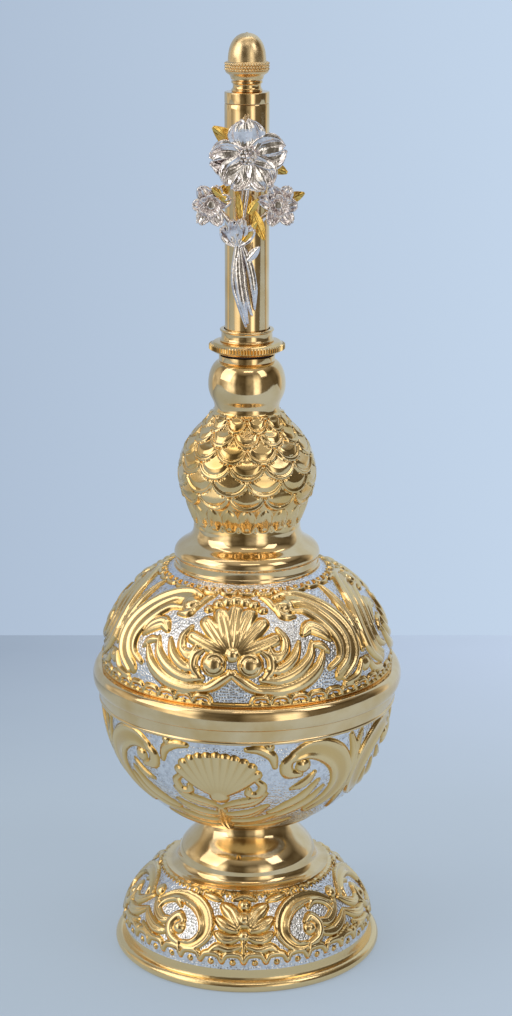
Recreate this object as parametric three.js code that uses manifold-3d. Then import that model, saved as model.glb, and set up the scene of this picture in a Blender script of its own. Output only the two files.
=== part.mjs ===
// Holy water sprinkler: a footed round flask of spun and embossed brass, gilt and silvered,
// with a screwed-on spout that carries a cast flower spray and an acorn screw cap.
// Millimetres, +Z up, origin at the centre of the foot's underside, flower spray towards -Y.
import * as THREE from "three";
import { mergeVertices } from "three/addons/utils/BufferGeometryUtils.js";
import Module from "manifold-3d";

const wasm = await Module();
wasm.setup();

// Sheet, facets and general clearances
const sheetWall = 1.0; // spun brass sheet
const slipGap = 0.3; // radial gap of a sleeve soldered over another piece
const runningGap = 0.3; // radial gap where a piece turns
const vesselFacets = 32;
const spoutFacets = 24;

// Foot
const footRimRadius = 41.1;
const footBeadRadius = 1.7; // rolled bead at the rim
const footLedgeRadius = 38.3; // inner edge of the plain ledge
const footLedgeHeight = 6.2;
const footShellRadius = 38.6;
const footShellBase = 9.0; // height at which the embossed shell is widest
const footShellRise = 28.5;
const footShellPower = 1.5;
const footTopRadius = 26.0;
const studRadius = 3.0;
const studHoleRadius = 3.4;

// Stem cone between foot and bowl
const stemLipRadius = 25.2;
const stemLipHeight = 0.7;
const stemBaseRadius = 21.0;
const stemBaseHeight = 4.2;
const stemTopRadius = 13.8;
const stemHeight = 15.4;

// Stud, washer and nut that hold the foot
const studHeadRadius = 7.0;
const studHeadHeight = 1.6;
const studEnd = 1.8; // stud left showing below the nut
const footWasherRadius = 9.0;
const footWasherHeight = 1.2;
const footNutAcrossFlats = 10.0;
const footNutHeight = 4.8;

// Bowl, lip band, ring and dome
const bowlRadius = 43.9;
const bowlDepth = 41.3;
const bowlPower = 2.0;
const bowlLipHeight = 4.4; // straight lip above the round bowl
const lipBandWall = 1.0;
const ringProud = 1.7; // how far the ring stands out past the lip band
const ringHeight = 6.8;
const domeRise = 33.6;
const domePower = 2.32;

// Chased ornament of the foot and the dome: one motif, mirrored about its middle and repeated round
const motifRepeats = 3;
const groundSink = 0.3; // ground of the ornament below the plain outline
const ridgeRoot = 0.38; // how deep a ridge is bedded in the sheet
const domeMotifTurn = -6; // degrees from the front to the middle of the dome's first motif
const domeMotifLength = 40.6; // length up the surface on which the dome's motif is drawn
const footMotifTurn = -1.5;
const footMotifLength = 24.0;

// Shoulder collar and knops
const collarRadius = 21.9;
const collarFlangeHeight = 3.8;
const collarHeight = 12.6;
const knopNeckRadius = 16.0;
const scaleKnopRadius = 20.15;
const scaleKnopBelly = 15.4;
const scaleKnopHeight = 35.8;
const knopJointRadius = 9.7;
const plainKnopRadius = 11.5;
const plainKnopBelly = 7.0;
const plainKnopTopRadius = 8.8;
const plainKnopHeight = 14.0;

// Threaded neck ferrule and its washer
const ferruleFlangeRadius = 8.3;
const ferruleFlangeHeight = 2.0;
const ferruleSkirtRadius = 6.6;
const ferruleSkirtHeight = 3.6;
const ferruleBoreRadius = 4.0;
const neckThreadRadius = 5.3;
const neckThreadHeight = 4.5;
const neckWasherRadius = 7.9;
const neckWasherHeight = 0.8;

// Spout
const nutRadius = 11.25;
const nutCoreRadius = 10.7;
const nutHeight = 3.2;
const nutEdgeChamfer = 0.7;
const nutKnurlBand = 1.9;
const nutTeeth = 48;
const tubeRadius = 6.5;
const tubeWall = 0.8;
const tubeLength = 69.3;
const tubeEdgeChamfer = 0.25;
const spoutCollarRadius = 8.0;
const spoutCollarHeight = 3.7;
const spoutCollarBand = 0.7; // height of its two raised edges
const bushHeight = 3.3;
const bushPlugLength = 4.2;
const headThreadRadius = 3.4;
const headSpigotLength = 4.2;

// Sprinkler head and cap
const headNeckRadius = 4.5;
const headNeckHeight = 3.2;
const headGrooveRadius = 4.05;
const headGrooveBand = 0.7;
const capThreadRadius = 3.5;
const capThreadHeight = 5.0;
const headBoreRadius = 2.5;
const roseThickness = 1.0;
const roseHoleRadius = 0.45;
const roseHoleCircle = 1.6;
const roseHoles = 6;
const capGap = 0.3; // between the head's ring and the cap's rim
const linerHeight = 0.7;
const linerRadius = 3.3;
const capFootRadius = 4.6;
const capBandRadius = 6.5;
const capBandBase = 2.4;
const capBandHeight = 2.6;
const acornRadius = 5.5;
const acornHeight = 8.2;

// Flower spray
const sprayGap = 0.3;
const mainBlossomX = 0.3;
const mainBlossomDrop = 17.0; // below the top of the tube's bush
const mainBlossomStandoff = 4.6; // in front of the tube
const petalLength = 11.4;
const petalWidth = 9.8;
const petalLift = 2.2;
const petalThickness = 0.7;
const mainBossRadius = 1.7;
const mainBossBack = 1.2;
const bossFront = 1.6;
const stamenRadius = 2.7;
const stamenHeight = 1.3;
const sideBlossomSpread = 9.6;
const sideBlossomShift = -0.6;
const sideBlossomDrop = 31.2;
const sideBlossomStandoff = 3.0;
const sidePetalLength = 6.2;
const sidePetalWidth = 5.4;
const sidePetalLift = 1.6;
const sideBossRadius = 1.3;
const sideBossBack = 0.5;
const leafThickness = 0.6;
const leafLift = 0.6;
const largeLeafLength = 10.6;
const largeLeafWidth = 5.2;
const mediumLeafLength = 10.0;
const mediumLeafWidth = 4.6;
const smallLeafLength = 6.3;
const smallLeafWidth = 3.2;
const forkLeafLength = 9.0;
const forkLeafWidth = 3.4;
const forkLeafX = 1.6;
const stemTwigRadius = 1.05;
const twigForkDrop = 12.0; // fork of the twigs below the side blossoms

const V2 = THREE.Vector2;
const V3 = THREE.Vector3;
const group = new THREE.Group();

const gilt = new THREE.MeshStandardMaterial({ color: 0xd9a548, roughness: 0.12, metalness: 1 });
const embossed = new THREE.MeshStandardMaterial({ color: 0xd6ab5c, roughness: 0.25, metalness: 1 });
const silvered = new THREE.MeshStandardMaterial({ color: 0xd4d3d6, roughness: 0.15, metalness: 1 });
const bareBrass = new THREE.MeshStandardMaterial({ color: 0xb9954e, roughness: 0.35, metalness: 1 });
const sealing = new THREE.MeshStandardMaterial({ color: 0x3a2f28, roughness: 0.8, metalness: 0 });

/** Adds a named mesh to the part. */
function add(name, geometry, material) {
  const mesh = new THREE.Mesh(geometry, material);
  mesh.name = name;
  group.add(mesh);
  return mesh;
}

/** A closed outline of [radius, height] pairs turned about Z. */
function turned(outline, facets) {
  const points = outline.map(([r, z]) => new V2(r, z));
  const closed = points.concat([points[0].clone()]);
  const wound = THREE.ShapeUtils.area(points) < 0 ? closed : closed.slice().reverse();
  const geometry = new THREE.LatheGeometry(wound.reverse(), facets);
  return geometry.rotateX(Math.PI / 2);
}

/** A spun sheet shell: the outer outline, and the same outline set inwards by the wall. */
function spun(outer, wall, facets) {
  const inner = outer.map(([r, z], i) => {
    if (i === 0 || i === outer.length - 1) return [r - wall, z];
    const [ra, za] = outer[i - 1];
    const [rb, zb] = outer[i + 1];
    const length = Math.hypot(rb - ra, zb - za);
    return [r - (wall * (zb - za)) / length, z + (wall * (rb - ra)) / length];
  });
  return turned(outer.concat(inner.reverse()), facets);
}

/** Points of a superellipse quarter from its widest point to the radius it is cut at. */
function swell(radius, rise, power, cutRadius, base, steps) {
  const last = Math.acos((cutRadius / radius) ** (power / 2));
  return Array.from({ length: steps + 1 }, (_, i) => {
    const t = (last * i) / steps;
    return [radius * Math.cos(t) ** (2 / power), base + rise * Math.sin(t) ** (2 / power)];
  });
}

/** Points along a Bezier curve through four [radius, height] pairs. */
function bent(a, b, c, d, steps) {
  const curve = new THREE.CubicBezierCurve(new V2(...a), new V2(...b), new V2(...c), new V2(...d));
  return curve.getPoints(steps).map((p) => [p.x, p.y]);
}

/** Points of a round bead from one angle to another, in degrees. */
function bead(radius, height, reach, rise, from, to, steps) {
  return Array.from({ length: steps + 1 }, (_, i) => {
    const t = THREE.MathUtils.degToRad(from + ((to - from) * i) / steps);
    return [radius + reach * Math.cos(t), height + rise * Math.sin(t)];
  });
}

/** A three.js geometry as a solid that can be joined and cut. */
function solid(geometry) {
  const plain = new THREE.BufferGeometry();
  const source = geometry.index ? geometry.toNonIndexed() : geometry;
  plain.setAttribute("position", source.getAttribute("position"));
  const merged = mergeVertices(plain, 1e-4);
  return new wasm.Manifold(
    new wasm.Mesh({
      numProp: 3,
      vertProperties: merged.attributes.position.array,
      triVerts: new Uint32Array(merged.index.array),
    }),
  );
}

/** The geometry of a joined or cut solid. */
function geometryOf(made) {
  const mesh = made.getMesh();
  const geometry = new THREE.BufferGeometry();
  geometry.setAttribute("position", new THREE.BufferAttribute(mesh.vertProperties, 3));
  geometry.setIndex(new THREE.BufferAttribute(mesh.triVerts, 1));
  return geometry;
}

/** A plain round rod along Z. */
function rod(radius, from, to, facets) {
  const geometry = new THREE.CylinderGeometry(radius, radius, to - from, facets);
  return geometry.rotateX(Math.PI / 2).translate(0, 0, (from + to) / 2);
}

/** Two joined grids, one above the other, as one closed leaf or petal. */
function sheetSolid(surface, thickness, rows, columns) {
  const positions = [];
  const index = [];
  const across = columns + 1;
  const count = (rows + 1) * across;
  for (const side of [thickness / 2, -thickness / 2]) {
    for (let i = 0; i <= rows; i++) {
      for (let j = 0; j <= columns; j++) {
        const p = surface(i / rows, (2 * j) / columns - 1);
        positions.push(p.x, p.y, p.z + side);
      }
    }
  }
  const quad = (a, b, c, d) => index.push(a, b, c, a, c, d);
  for (let i = 0; i < rows; i++) {
    for (let j = 0; j < columns; j++) {
      const a = i * across + j;
      quad(a, a + 1, a + 1 + across, a + across);
      quad(count + a, count + a + across, count + a + 1 + across, count + a + 1);
    }
  }
  const border = [];
  for (let j = 0; j < columns; j++) border.push(j);
  for (let i = 0; i < rows; i++) border.push(i * across + columns);
  for (let j = columns; j > 0; j--) border.push(rows * across + j);
  for (let i = rows; i > 0; i--) border.push(i * across);
  border.forEach((a, k) => {
    const b = border[(k + 1) % border.length];
    quad(a, a + count, b + count, b);
  });
  const geometry = new THREE.BufferGeometry();
  geometry.setAttribute("position", new THREE.Float32BufferAttribute(positions, 3));
  geometry.setIndex(index);
  return geometry;
}

/** A ruffled petal that lies along its own +Y and faces +Z. */
function petal(length, width, lift, thickness) {
  const widest = 0.62;
  const baseShare = 0.3;
  const surface = (u, v) => {
    const rising = baseShare + (1 - baseShare) * Math.sin((Math.min(1, u / widest) * Math.PI) / 2);
    const falling = Math.sqrt(1 - 0.85 * (Math.max(0, u - widest) / (1 - widest)) ** 2);
    const half = (width / 2) * rising * falling;
    const ruffle = 0.035 * length * u * Math.cos(2.5 * Math.PI * v);
    return new V3(v * half, length * u * (1 - 0.06 * v * v * u), lift * u * u + 0.12 * half * v * v + ruffle);
  };
  return sheetSolid(surface, thickness, 5, 6);
}

/** A pointed leaf with a raised middle rib, along its own +Y from a start, facing +Z. */
function leaf(start, length, width, lift, thickness) {
  const surface = (u, v) => {
    const half = (width / 2) * (0.16 + 0.84 * Math.sin(Math.PI * (0.12 + 0.84 * u)));
    return new V3(v * half, start + length * u, lift * u * u - 0.3 * half * Math.abs(v));
  };
  return sheetSolid(surface, thickness, 4, 4);
}

/** Turns a piece made along +Y so that it runs at an angle in the XZ plane and faces -Y. */
function facing(geometry, degrees, centre) {
  const t = THREE.MathUtils.degToRad(degrees);
  const along = new V3(Math.cos(t), 0, Math.sin(t));
  const front = new V3(0, -1, 0);
  const side = new V3().crossVectors(along, front);
  return geometry.applyMatrix4(new THREE.Matrix4().makeBasis(side, along, front).setPosition(centre));
}

/** A tapering twig through points that carry their own radius in w. */
function twig(points, sides) {
  const curve = new THREE.CatmullRomCurve3(points.map((p) => new V3(p.x, p.y, p.z)));
  const steps = (points.length - 1) * 2;
  const positions = [];
  const index = [];
  const across = new V3(0, 1, 0);
  for (let i = 0; i <= steps; i++) {
    const t = i / steps;
    const at = curve.getPoint(t);
    const tangent = curve.getTangent(t);
    const side = new V3().crossVectors(tangent, across).normalize();
    const out = new V3().crossVectors(side, tangent).normalize();
    const k = Math.min(points.length - 2, Math.floor(t * (points.length - 1)));
    const radius = THREE.MathUtils.lerp(points[k].w, points[k + 1].w, t * (points.length - 1) - k);
    for (let j = 0; j < sides; j++) {
      const a = (2 * Math.PI * j) / sides;
      const p = at.clone().addScaledVector(side, radius * Math.cos(a)).addScaledVector(out, radius * Math.sin(a));
      positions.push(p.x, p.y, p.z);
    }
  }
  for (let i = 0; i < steps; i++) {
    for (let j = 0; j < sides; j++) {
      const a = i * sides + j;
      const b = i * sides + ((j + 1) % sides);
      index.push(a, b + sides, b, a, a + sides, b + sides);
    }
  }
  for (let j = 1; j < sides - 1; j++) {
    index.push(0, j, j + 1);
    index.push(steps * sides, steps * sides + j + 1, steps * sides + j);
  }
  const geometry = new THREE.BufferGeometry();
  geometry.setAttribute("position", new THREE.Float32BufferAttribute(positions, 3));
  geometry.setIndex(index);
  return geometry;
}

/** The same line set inwards, with both of its ends left where they are. */
function sunk(line, depth) {
  return line.map(([r, z], i) => {
    if (i === 0 || i === line.length - 1) return [r, z];
    const [ra, za] = line[i - 1];
    const [rb, zb] = line[i + 1];
    const length = Math.hypot(rb - ra, zb - za);
    return [r - (depth * (zb - za)) / length, z + (depth * (rb - ra)) / length];
  });
}

/** A turned surface on which ornament is drawn: its line, and the length up it that the motif is drawn on. */
class Skin {
  constructor(line, motifLength, turn) {
    this.curve = new THREE.CurvePath();
    for (let i = 1; i < line.length; i++) {
      this.curve.add(new THREE.LineCurve(new V2(...line[i - 1]), new V2(...line[i])));
    }
    this.motifLength = motifLength;
    this.scale = this.curve.getLength() / motifLength;
    this.turn = turn;
  }

  /** Radius of the surface at a length up it. */
  radius(along) {
    return this.curve.getPointAt(THREE.MathUtils.clamp(along / this.motifLength, 0, 1)).x;
  }

  /** The point at degrees from the motif's middle and a length up, standing off the surface by a lift. */
  at(degrees, along, lift) {
    const share = THREE.MathUtils.clamp(along / this.motifLength, 0, 1);
    const point = this.curve.getPointAt(share);
    const tangent = this.curve.getTangentAt(share);
    const radius = point.x + lift * tangent.y;
    const angle = THREE.MathUtils.degToRad(this.turn + degrees);
    return new V3(radius * Math.sin(angle), -radius * Math.cos(angle), point.y - lift * tangent.x);
  }
}

// Sections of a chased stroke: [share of the half-width, share of the height] from edge to edge
const troughSection = [[-0.76, 0.95], [0, 0.5], [0.76, 0.95]];
const leafSection = [[-0.7, 0.95], [-0.3, 0.5], [0.05, 0.85], [0.4, 0.5], [0.7, 0.75]];

/** A chased stroke along [degrees, length up] points, with half-widths at its start, middle and end. */
function stroke(skin, section, points, halves, height) {
  const [start, middle, end] = halves;
  const widest = Math.max(...halves);
  const rings = points.map(([degrees, along], i) => {
    const run = i / (points.length - 1);
    const near = run < 0.5 ? start : end;
    const half = near + (middle - near) * Math.sin(run * Math.PI);
    const [da, sa] = points[Math.max(0, i - 1)];
    const [db, sb] = points[Math.min(points.length - 1, i + 1)];
    const around = THREE.MathUtils.degToRad(1) * skin.radius(along);
    const tangent = new V2((db - da) * around, (sb - sa) * skin.scale).normalize();
    const shift = (share) => [
      degrees - (share * half * tangent.y) / around,
      along + (share * half * tangent.x) / skin.scale,
    ];
    const lift = height * Math.sqrt(half / widest);
    return [
      skin.at(...shift(-1), -ridgeRoot),
      ...section.map(([share, rise]) => skin.at(...shift(share), rise * lift)),
      skin.at(...shift(1), -ridgeRoot),
      skin.at(...shift(0), -ridgeRoot),
    ];
  });
  const count = rings[0].length;
  const index = [];
  for (let i = 0; i + 1 < rings.length; i++) {
    for (let j = 0; j < count; j++) {
      const a = i * count + j;
      const b = i * count + ((j + 1) % count);
      index.push(a, b + count, b, a, a + count, b + count);
    }
  }
  const last = (rings.length - 1) * count;
  for (let j = 1; j + 1 < count; j++) {
    index.push(0, j, j + 1, last, last + j + 1, last + j);
  }
  return facetted(rings.flat(), index);
}

/** A round boss on a turned surface. */
function boss(skin, degrees, along, radius, height, sides) {
  const points = [];
  for (const [share, lift] of [[1, -ridgeRoot], [0.72, 0.74 * height]]) {
    for (let j = 0; j < sides; j++) {
      const a = (2 * Math.PI * j) / sides;
      const turn = THREE.MathUtils.radToDeg((share * radius * Math.cos(a)) / skin.radius(along));
      points.push(skin.at(degrees + turn, along + (share * radius * Math.sin(a)) / skin.scale, lift));
    }
  }
  points.push(skin.at(degrees, along, height));
  const index = [];
  for (let j = 0; j < sides; j++) {
    const b = (j + 1) % sides;
    index.push(j, b, b + sides, j, b + sides, j + sides, j + sides, b + sides, 2 * sides);
    if (j > 0 && b > 0) index.push(0, b, j);
  }
  return facetted(points, index);
}

/** A palmette: crests that run from a root to their tips, with a valley between each two. */
function palmette(skin, root, tips, height) {
  const between = (from, to, share) => from.map((value, n) => THREE.MathUtils.lerp(value, to[n], share));
  const ends = [];
  tips.forEach((tip, i) => {
    ends.push({ crown: between(root, tip, 0.84), rim: tip, lift: 0.95 * height });
    if (i + 1 === tips.length) return;
    const valley = between(tip, tips[i + 1], 0.5);
    const [crown, rim] = [0.8, 0.94].map((share) => between(root, valley, share));
    ends.push({ crown, rim, lift: 0.45 * height });
  });
  const top = [skin.at(...root, 0.8 * height)];
  const base = [skin.at(...between(root, tips[(tips.length - 1) / 2], -0.1), -ridgeRoot)];
  for (const run of [0.5, 1]) {
    for (const { crown, rim, lift } of ends) {
      top.push(skin.at(...between(root, crown, run), THREE.MathUtils.lerp(0.8 * height, lift, run)));
      base.push(skin.at(...between(root, rim, run), -ridgeRoot));
    }
  }
  const count = top.length;
  const n = ends.length;
  const index = [];
  const both = (a, b, c) => index.push(a, b, c, count + a, count + c, count + b);
  for (let j = 1; j < n; j++) {
    both(0, j + 1, j);
    both(j, j + 1, n + j + 1);
    both(j, n + j + 1, n + j);
  }
  const edge = [0, 1, ...ends.map((_, j) => n + 1 + j), n, 0];
  for (let j = 0; j + 1 < edge.length; j++) {
    const [a, b] = [edge[j], edge[j + 1]];
    index.push(a, b, b + count, a, b + count, a + count);
  }
  return facetted([...top, ...base], index);
}

/** A geometry from points and the indices of its triangles. */
function facetted(points, index) {
  const geometry = new THREE.BufferGeometry().setFromPoints(points);
  geometry.setIndex(index);
  return geometry;
}

/** A shell with a motif added all round it: its mirrored strokes and bosses, and those on its middle. */
function chased(shell, skin, mirrored, middle) {
  let made = solid(shell);
  const place = (form, side, turn) => {
    made = made.add(solid(form(skin, ([degrees, along]) => [turn + side * degrees, along])));
  };
  for (let k = 0; k < motifRepeats; k++) {
    const turn = (360 * k) / motifRepeats;
    for (const form of mirrored) {
      place(form, 1, turn);
      place(form, -1, turn);
    }
    for (const form of middle) place(form, 1, turn);
  }
  return geometryOf(made);
}

const drawn = (section) => (points, halves, height) => (skin, shift) =>
  stroke(skin, section, points.map(shift), halves, height);
const trough = drawn(troughSection);
const leafFan = drawn(leafSection);
const knob = (centre, radius, height, sides) => (skin, shift) =>
  boss(skin, ...shift(centre), radius, height, sides);
const fan = (root, tips, height) => (skin, shift) => {
  const both = [...tips.slice(1).map(([degrees, along]) => [-degrees, along]).reverse(), ...tips];
  return palmette(skin, shift(root), both.map(shift), height);
};

// The dome's palmette over two curls, with leaf fans and great scrolls at its sides
const domeMirrored = [
  knob([7.4, 12.6], 3.6, 1.45, 7),
  leafFan([[11.0, 7.4], [20.0, 7.8], [29.6, 10.6], [36.6, 16.6]], [2.0, 4.6, 1.2], 1.25),
  trough([[28.0, 32.0], [40.0, 30.4], [50.0, 23.0], [51.6, 13.0], [44.4, 7.4]], [2.6, 4.8, 2.6], 1.25),
];
const domeMiddle = [
  fan([0.0, 16.6], [[0.0, 31.6], [7.8, 30.4], [14.8, 26.4], [20.6, 20.4]], 1.25),
];

// The foot's flower between two facing scrolls
const footMirrored = [
  trough([[33.0, 6.0], [23.0, 7.2], [20.4, 13.6], [29.0, 19.0], [43.0, 19.8], [55.0, 16.0]], [0.9, 2.5, 0.9], 1.15),
  knob([34.8, 10.6], 2.9, 1.3, 6),
];
const footMiddle = [
  fan([0.0, 11.6], [[0.0, 20.6], [8.0, 21.2], [14.0, 19.6], [16.4, 15.0], [15.2, 10.4]], 1.15),
  knob([0.0, 15.4], 2.7, 1.5, 7),
];

// Heights of the stack, each worked out from the piece below
const footTop = footShellBase + footShellRise * (1 - (footTopRadius / footShellRadius) ** footShellPower) ** (1 / footShellPower);
const bowlSeat = footTop + stemHeight;
const bowlEquator = bowlSeat + bowlDepth * (1 - (stemTopRadius / bowlRadius) ** bowlPower) ** (1 / bowlPower);
const bowlTop = bowlEquator + bowlLipHeight;
const bandRadius = bowlRadius + slipGap + lipBandWall;
const domeBase = bowlTop + ringHeight;
const domeTop = domeBase + domeRise * (1 - (collarRadius / bowlRadius) ** domePower) ** (1 / domePower);
const collarTop = domeTop + collarHeight;
const scaleKnopTop = collarTop + scaleKnopHeight;
const plainKnopTop = scaleKnopTop + plainKnopHeight;
const ferruleTop = plainKnopTop + ferruleFlangeHeight;
const nutBase = ferruleTop + neckWasherHeight;
const nutTop = nutBase + nutHeight;
const tubeTop = nutTop + tubeLength;
const bushTop = tubeTop + bushHeight;
const headRing = bushTop + headNeckHeight;
const roseTop = headRing + capThreadHeight;
const capBase = headRing + capGap;
const capTop = capBase + capBandBase + capBandHeight + acornHeight;
const neckBoreRadius = neckThreadRadius + runningGap;
const capBoreRadius = capThreadRadius + runningGap;

/** The embossed foot shell, with its rolled bead, plain ledge and pierced top plate. */
function footShell() {
  const beadCentre = footRimRadius - footBeadRadius;
  const side = (steps) => [
    [footLedgeRadius, footLedgeHeight],
    ...swell(footShellRadius, footShellRise, footShellPower, footTopRadius, footShellBase, steps),
  ];
  const outer = [
    [beadCentre - 0.4 * footBeadRadius, 0],
    [beadCentre + 0.4 * footBeadRadius, 0],
    ...bead(beadCentre, footBeadRadius, footBeadRadius, footBeadRadius, -30, 60, 3),
    [beadCentre, footLedgeHeight - footBeadRadius],
    ...sunk(side(6), groundSink),
  ];
  const inner = swell(footShellRadius, footShellRise, footShellPower, footTopRadius, footShellBase, 6)
    .slice(0, -1)
    .map(([r, z]) => [r - 1.15 * sheetWall, z - 0.5 * sheetWall]);
  const shell = turned(
    [
      ...outer,
      [studHoleRadius, footTop],
      [studHoleRadius, footTop - sheetWall],
      [footTopRadius - sheetWall, footTop - sheetWall],
      ...inner.reverse(),
      [footLedgeRadius - sheetWall, footLedgeHeight - sheetWall],
    ],
    vesselFacets,
  );
  const skin = new Skin(sunk(side(24), groundSink), footMotifLength, footMotifTurn);
  return chased(shell, skin, footMirrored, footMiddle);
}

/** The plain polished stem, standing on the foot's top plate. */
function stemCone() {
  const shoulder = footTop + stemBaseHeight;
  const flare = 0.24 * (stemLipRadius - stemBaseRadius);
  const outer = [
    [stemLipRadius, footTop],
    [stemLipRadius, footTop + stemLipHeight],
    ...bent(
      [stemLipRadius - flare, footTop + stemLipHeight],
      [stemBaseRadius + flare, footTop + stemLipHeight],
      [stemBaseRadius, shoulder - 0.5 * stemBaseHeight],
      [stemBaseRadius, shoulder],
      3,
    ),
    ...bent(
      [stemBaseRadius, shoulder],
      [stemBaseRadius - 0.03 * stemBaseRadius, shoulder + 0.4 * (bowlSeat - shoulder)],
      [stemTopRadius + 0.03 * stemBaseRadius, bowlSeat - 0.4 * (bowlSeat - shoulder)],
      [stemTopRadius, bowlSeat],
      5,
    ).slice(1),
  ];
  const inner = outer
    .slice(4, -1)
    .map(([r, z]) => [r - sheetWall, z])
    .reverse();
  return turned(
    [...outer, [stemTopRadius - sheetWall, bowlSeat], ...inner, [stemBaseRadius - sheetWall, footTop]],
    vesselFacets,
  );
}

/** The stud soldered in the bowl's floor, with its head inside the bowl. */
function footStud() {
  const floor = bowlSeat + sheetWall;
  const lowest = footTop - sheetWall - footWasherHeight - footNutHeight - studEnd;
  return turned(
    [
      [0, lowest],
      [studRadius - 0.5, lowest],
      [studRadius, lowest + 0.5],
      [studRadius, floor],
      [studHeadRadius, floor],
      [studHeadRadius, floor + studHeadHeight],
      [0, floor + studHeadHeight],
    ],
    spoutFacets,
  );
}

/** A flat round washer. */
function washer(bore, radius, base, height) {
  return turned(
    [
      [bore, base],
      [radius, base],
      [radius, base + height],
      [bore, base + height],
    ],
    spoutFacets,
  );
}

/** The hexagon nut under the foot's top plate. */
function footNut() {
  const shape = new THREE.Shape();
  const corner = footNutAcrossFlats / Math.sqrt(3);
  for (let i = 0; i < 6; i++) {
    const a = (i * Math.PI) / 3;
    const x = corner * Math.cos(a);
    const y = corner * Math.sin(a);
    if (i) shape.lineTo(x, y);
    else shape.moveTo(x, y);
  }
  shape.closePath();
  const hole = new THREE.Path();
  hole.absarc(0, 0, studRadius + slipGap, 0, 2 * Math.PI, true);
  shape.holes.push(hole);
  const top = footTop - sheetWall - footWasherHeight;
  const geometry = new THREE.ExtrudeGeometry(shape, { depth: footNutHeight, bevelEnabled: false, curveSegments: 10 });
  return geometry.translate(0, 0, top - footNutHeight);
}

/** The embossed lower bowl, with a flat floor and a straight lip. */
function lowerBowl() {
  const round = (radius, depth, cut, steps) =>
    swell(radius, depth, bowlPower, cut, 0, steps).map(([r, h]) => [r, bowlEquator - h]);
  const outer = round(bowlRadius, bowlDepth, stemTopRadius, 8).reverse();
  const inner = round(bowlRadius - sheetWall, bowlDepth - sheetWall, stemTopRadius, 8);
  inner[inner.length - 1][1] = bowlSeat + sheetWall;
  return turned(
    [
      [studRadius + slipGap, bowlSeat],
      ...outer,
      [bowlRadius, bowlTop],
      [bowlRadius - sheetWall, bowlTop],
      ...inner,
      [studRadius + slipGap, bowlSeat + sheetWall],
    ],
    vesselFacets,
  );
}

/** The plain band soldered round the bowl's lip. */
function lipBand() {
  const inside = bowlRadius + slipGap;
  return turned(
    [
      [inside, bowlEquator],
      [inside + 0.6 * lipBandWall, bowlEquator],
      [bandRadius, bowlEquator + 0.8 * lipBandWall],
      [bandRadius, bowlTop],
      [inside, bowlTop],
    ],
    vesselFacets,
  );
}

/** The half-round ring between bowl and dome. */
function equatorRing() {
  const inside = bowlRadius - sheetWall;
  return turned(
    [
      [inside, bowlTop],
      ...bead(bandRadius, bowlTop + ringHeight / 2, ringProud, ringHeight / 2, -90, 90, 6),
      [inside, domeBase],
    ],
    vesselFacets,
  );
}

/** The embossed dome, with a flat seat for the collar. */
function upperDome() {
  const side = (steps) => sunk(swell(bowlRadius, domeRise, domePower, collarRadius, domeBase, steps), groundSink);
  const inner = swell(bowlRadius - sheetWall, domeRise - sheetWall, domePower, collarRadius, domeBase, 8);
  const opening = collarRadius - 2.5 * sheetWall;
  inner[inner.length - 1][1] = domeTop - sheetWall;
  const shell = turned(
    [...side(7), [opening, domeTop], [opening, domeTop - sheetWall], ...inner.reverse()],
    vesselFacets,
  );
  return chased(shell, new Skin(side(30), domeMotifLength, domeMotifTurn), domeMirrored, domeMiddle);
}

/** The plain shoulder collar: a flange and a rounded shoulder. */
function shoulderCollar() {
  const flangeTop = domeTop + collarFlangeHeight;
  const rise = collarTop - flangeTop;
  return spun(
    [
      [collarRadius, domeTop],
      [collarRadius, flangeTop],
      ...bent(
        [collarRadius, flangeTop],
        [collarRadius, flangeTop + 0.5 * rise],
        [knopNeckRadius, flangeTop + 0.32 * rise],
        [knopNeckRadius, collarTop],
        7,
      ).slice(1),
    ],
    sheetWall,
    vesselFacets,
  );
}

/** The scale-chased knop. */
function scaleKnop() {
  const belly = collarTop + scaleKnopBelly;
  const above = scaleKnopHeight - scaleKnopBelly;
  return spun(
    [
      ...bent(
        [knopNeckRadius, collarTop],
        [knopNeckRadius, collarTop + 0.32 * scaleKnopBelly],
        [scaleKnopRadius, collarTop + 0.58 * scaleKnopBelly],
        [scaleKnopRadius, belly],
        4,
      ),
      ...bent(
        [scaleKnopRadius, belly],
        [scaleKnopRadius, belly + 0.59 * above],
        [knopJointRadius + 2.3, belly + 0.69 * above],
        [knopJointRadius, scaleKnopTop],
        6,
      ).slice(1),
    ],
    sheetWall,
    vesselFacets,
  );
}

/** The small plain knop below the ferrule. */
function plainKnop() {
  const belly = scaleKnopTop + plainKnopBelly;
  const above = plainKnopHeight - plainKnopBelly;
  return spun(
    [
      ...bent(
        [knopJointRadius, scaleKnopTop],
        [knopJointRadius - 0.3, scaleKnopTop + 0.32 * plainKnopBelly],
        [plainKnopRadius, scaleKnopTop + 0.48 * plainKnopBelly],
        [plainKnopRadius, belly],
        4,
      ),
      ...bent(
        [plainKnopRadius, belly],
        [plainKnopRadius, belly + 0.57 * above],
        [plainKnopTopRadius + 1.2, belly + 0.9 * above],
        [plainKnopTopRadius, plainKnopTop],
        4,
      ).slice(1),
    ],
    sheetWall,
    spoutFacets,
  );
}

/** The neck ferrule: skirt inside the knop, flange on it, threaded spigot above. */
function neckFerrule() {
  const top = ferruleTop + neckThreadHeight;
  return turned(
    [
      [ferruleBoreRadius, plainKnopTop - ferruleSkirtHeight],
      [ferruleSkirtRadius, plainKnopTop - ferruleSkirtHeight],
      [ferruleSkirtRadius, plainKnopTop],
      [ferruleFlangeRadius, plainKnopTop],
      [ferruleFlangeRadius, ferruleTop],
      [neckThreadRadius, ferruleTop],
      [neckThreadRadius, top - 0.4],
      [neckThreadRadius - 0.4, top],
      [ferruleBoreRadius, top],
    ],
    spoutFacets,
  );
}

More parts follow.
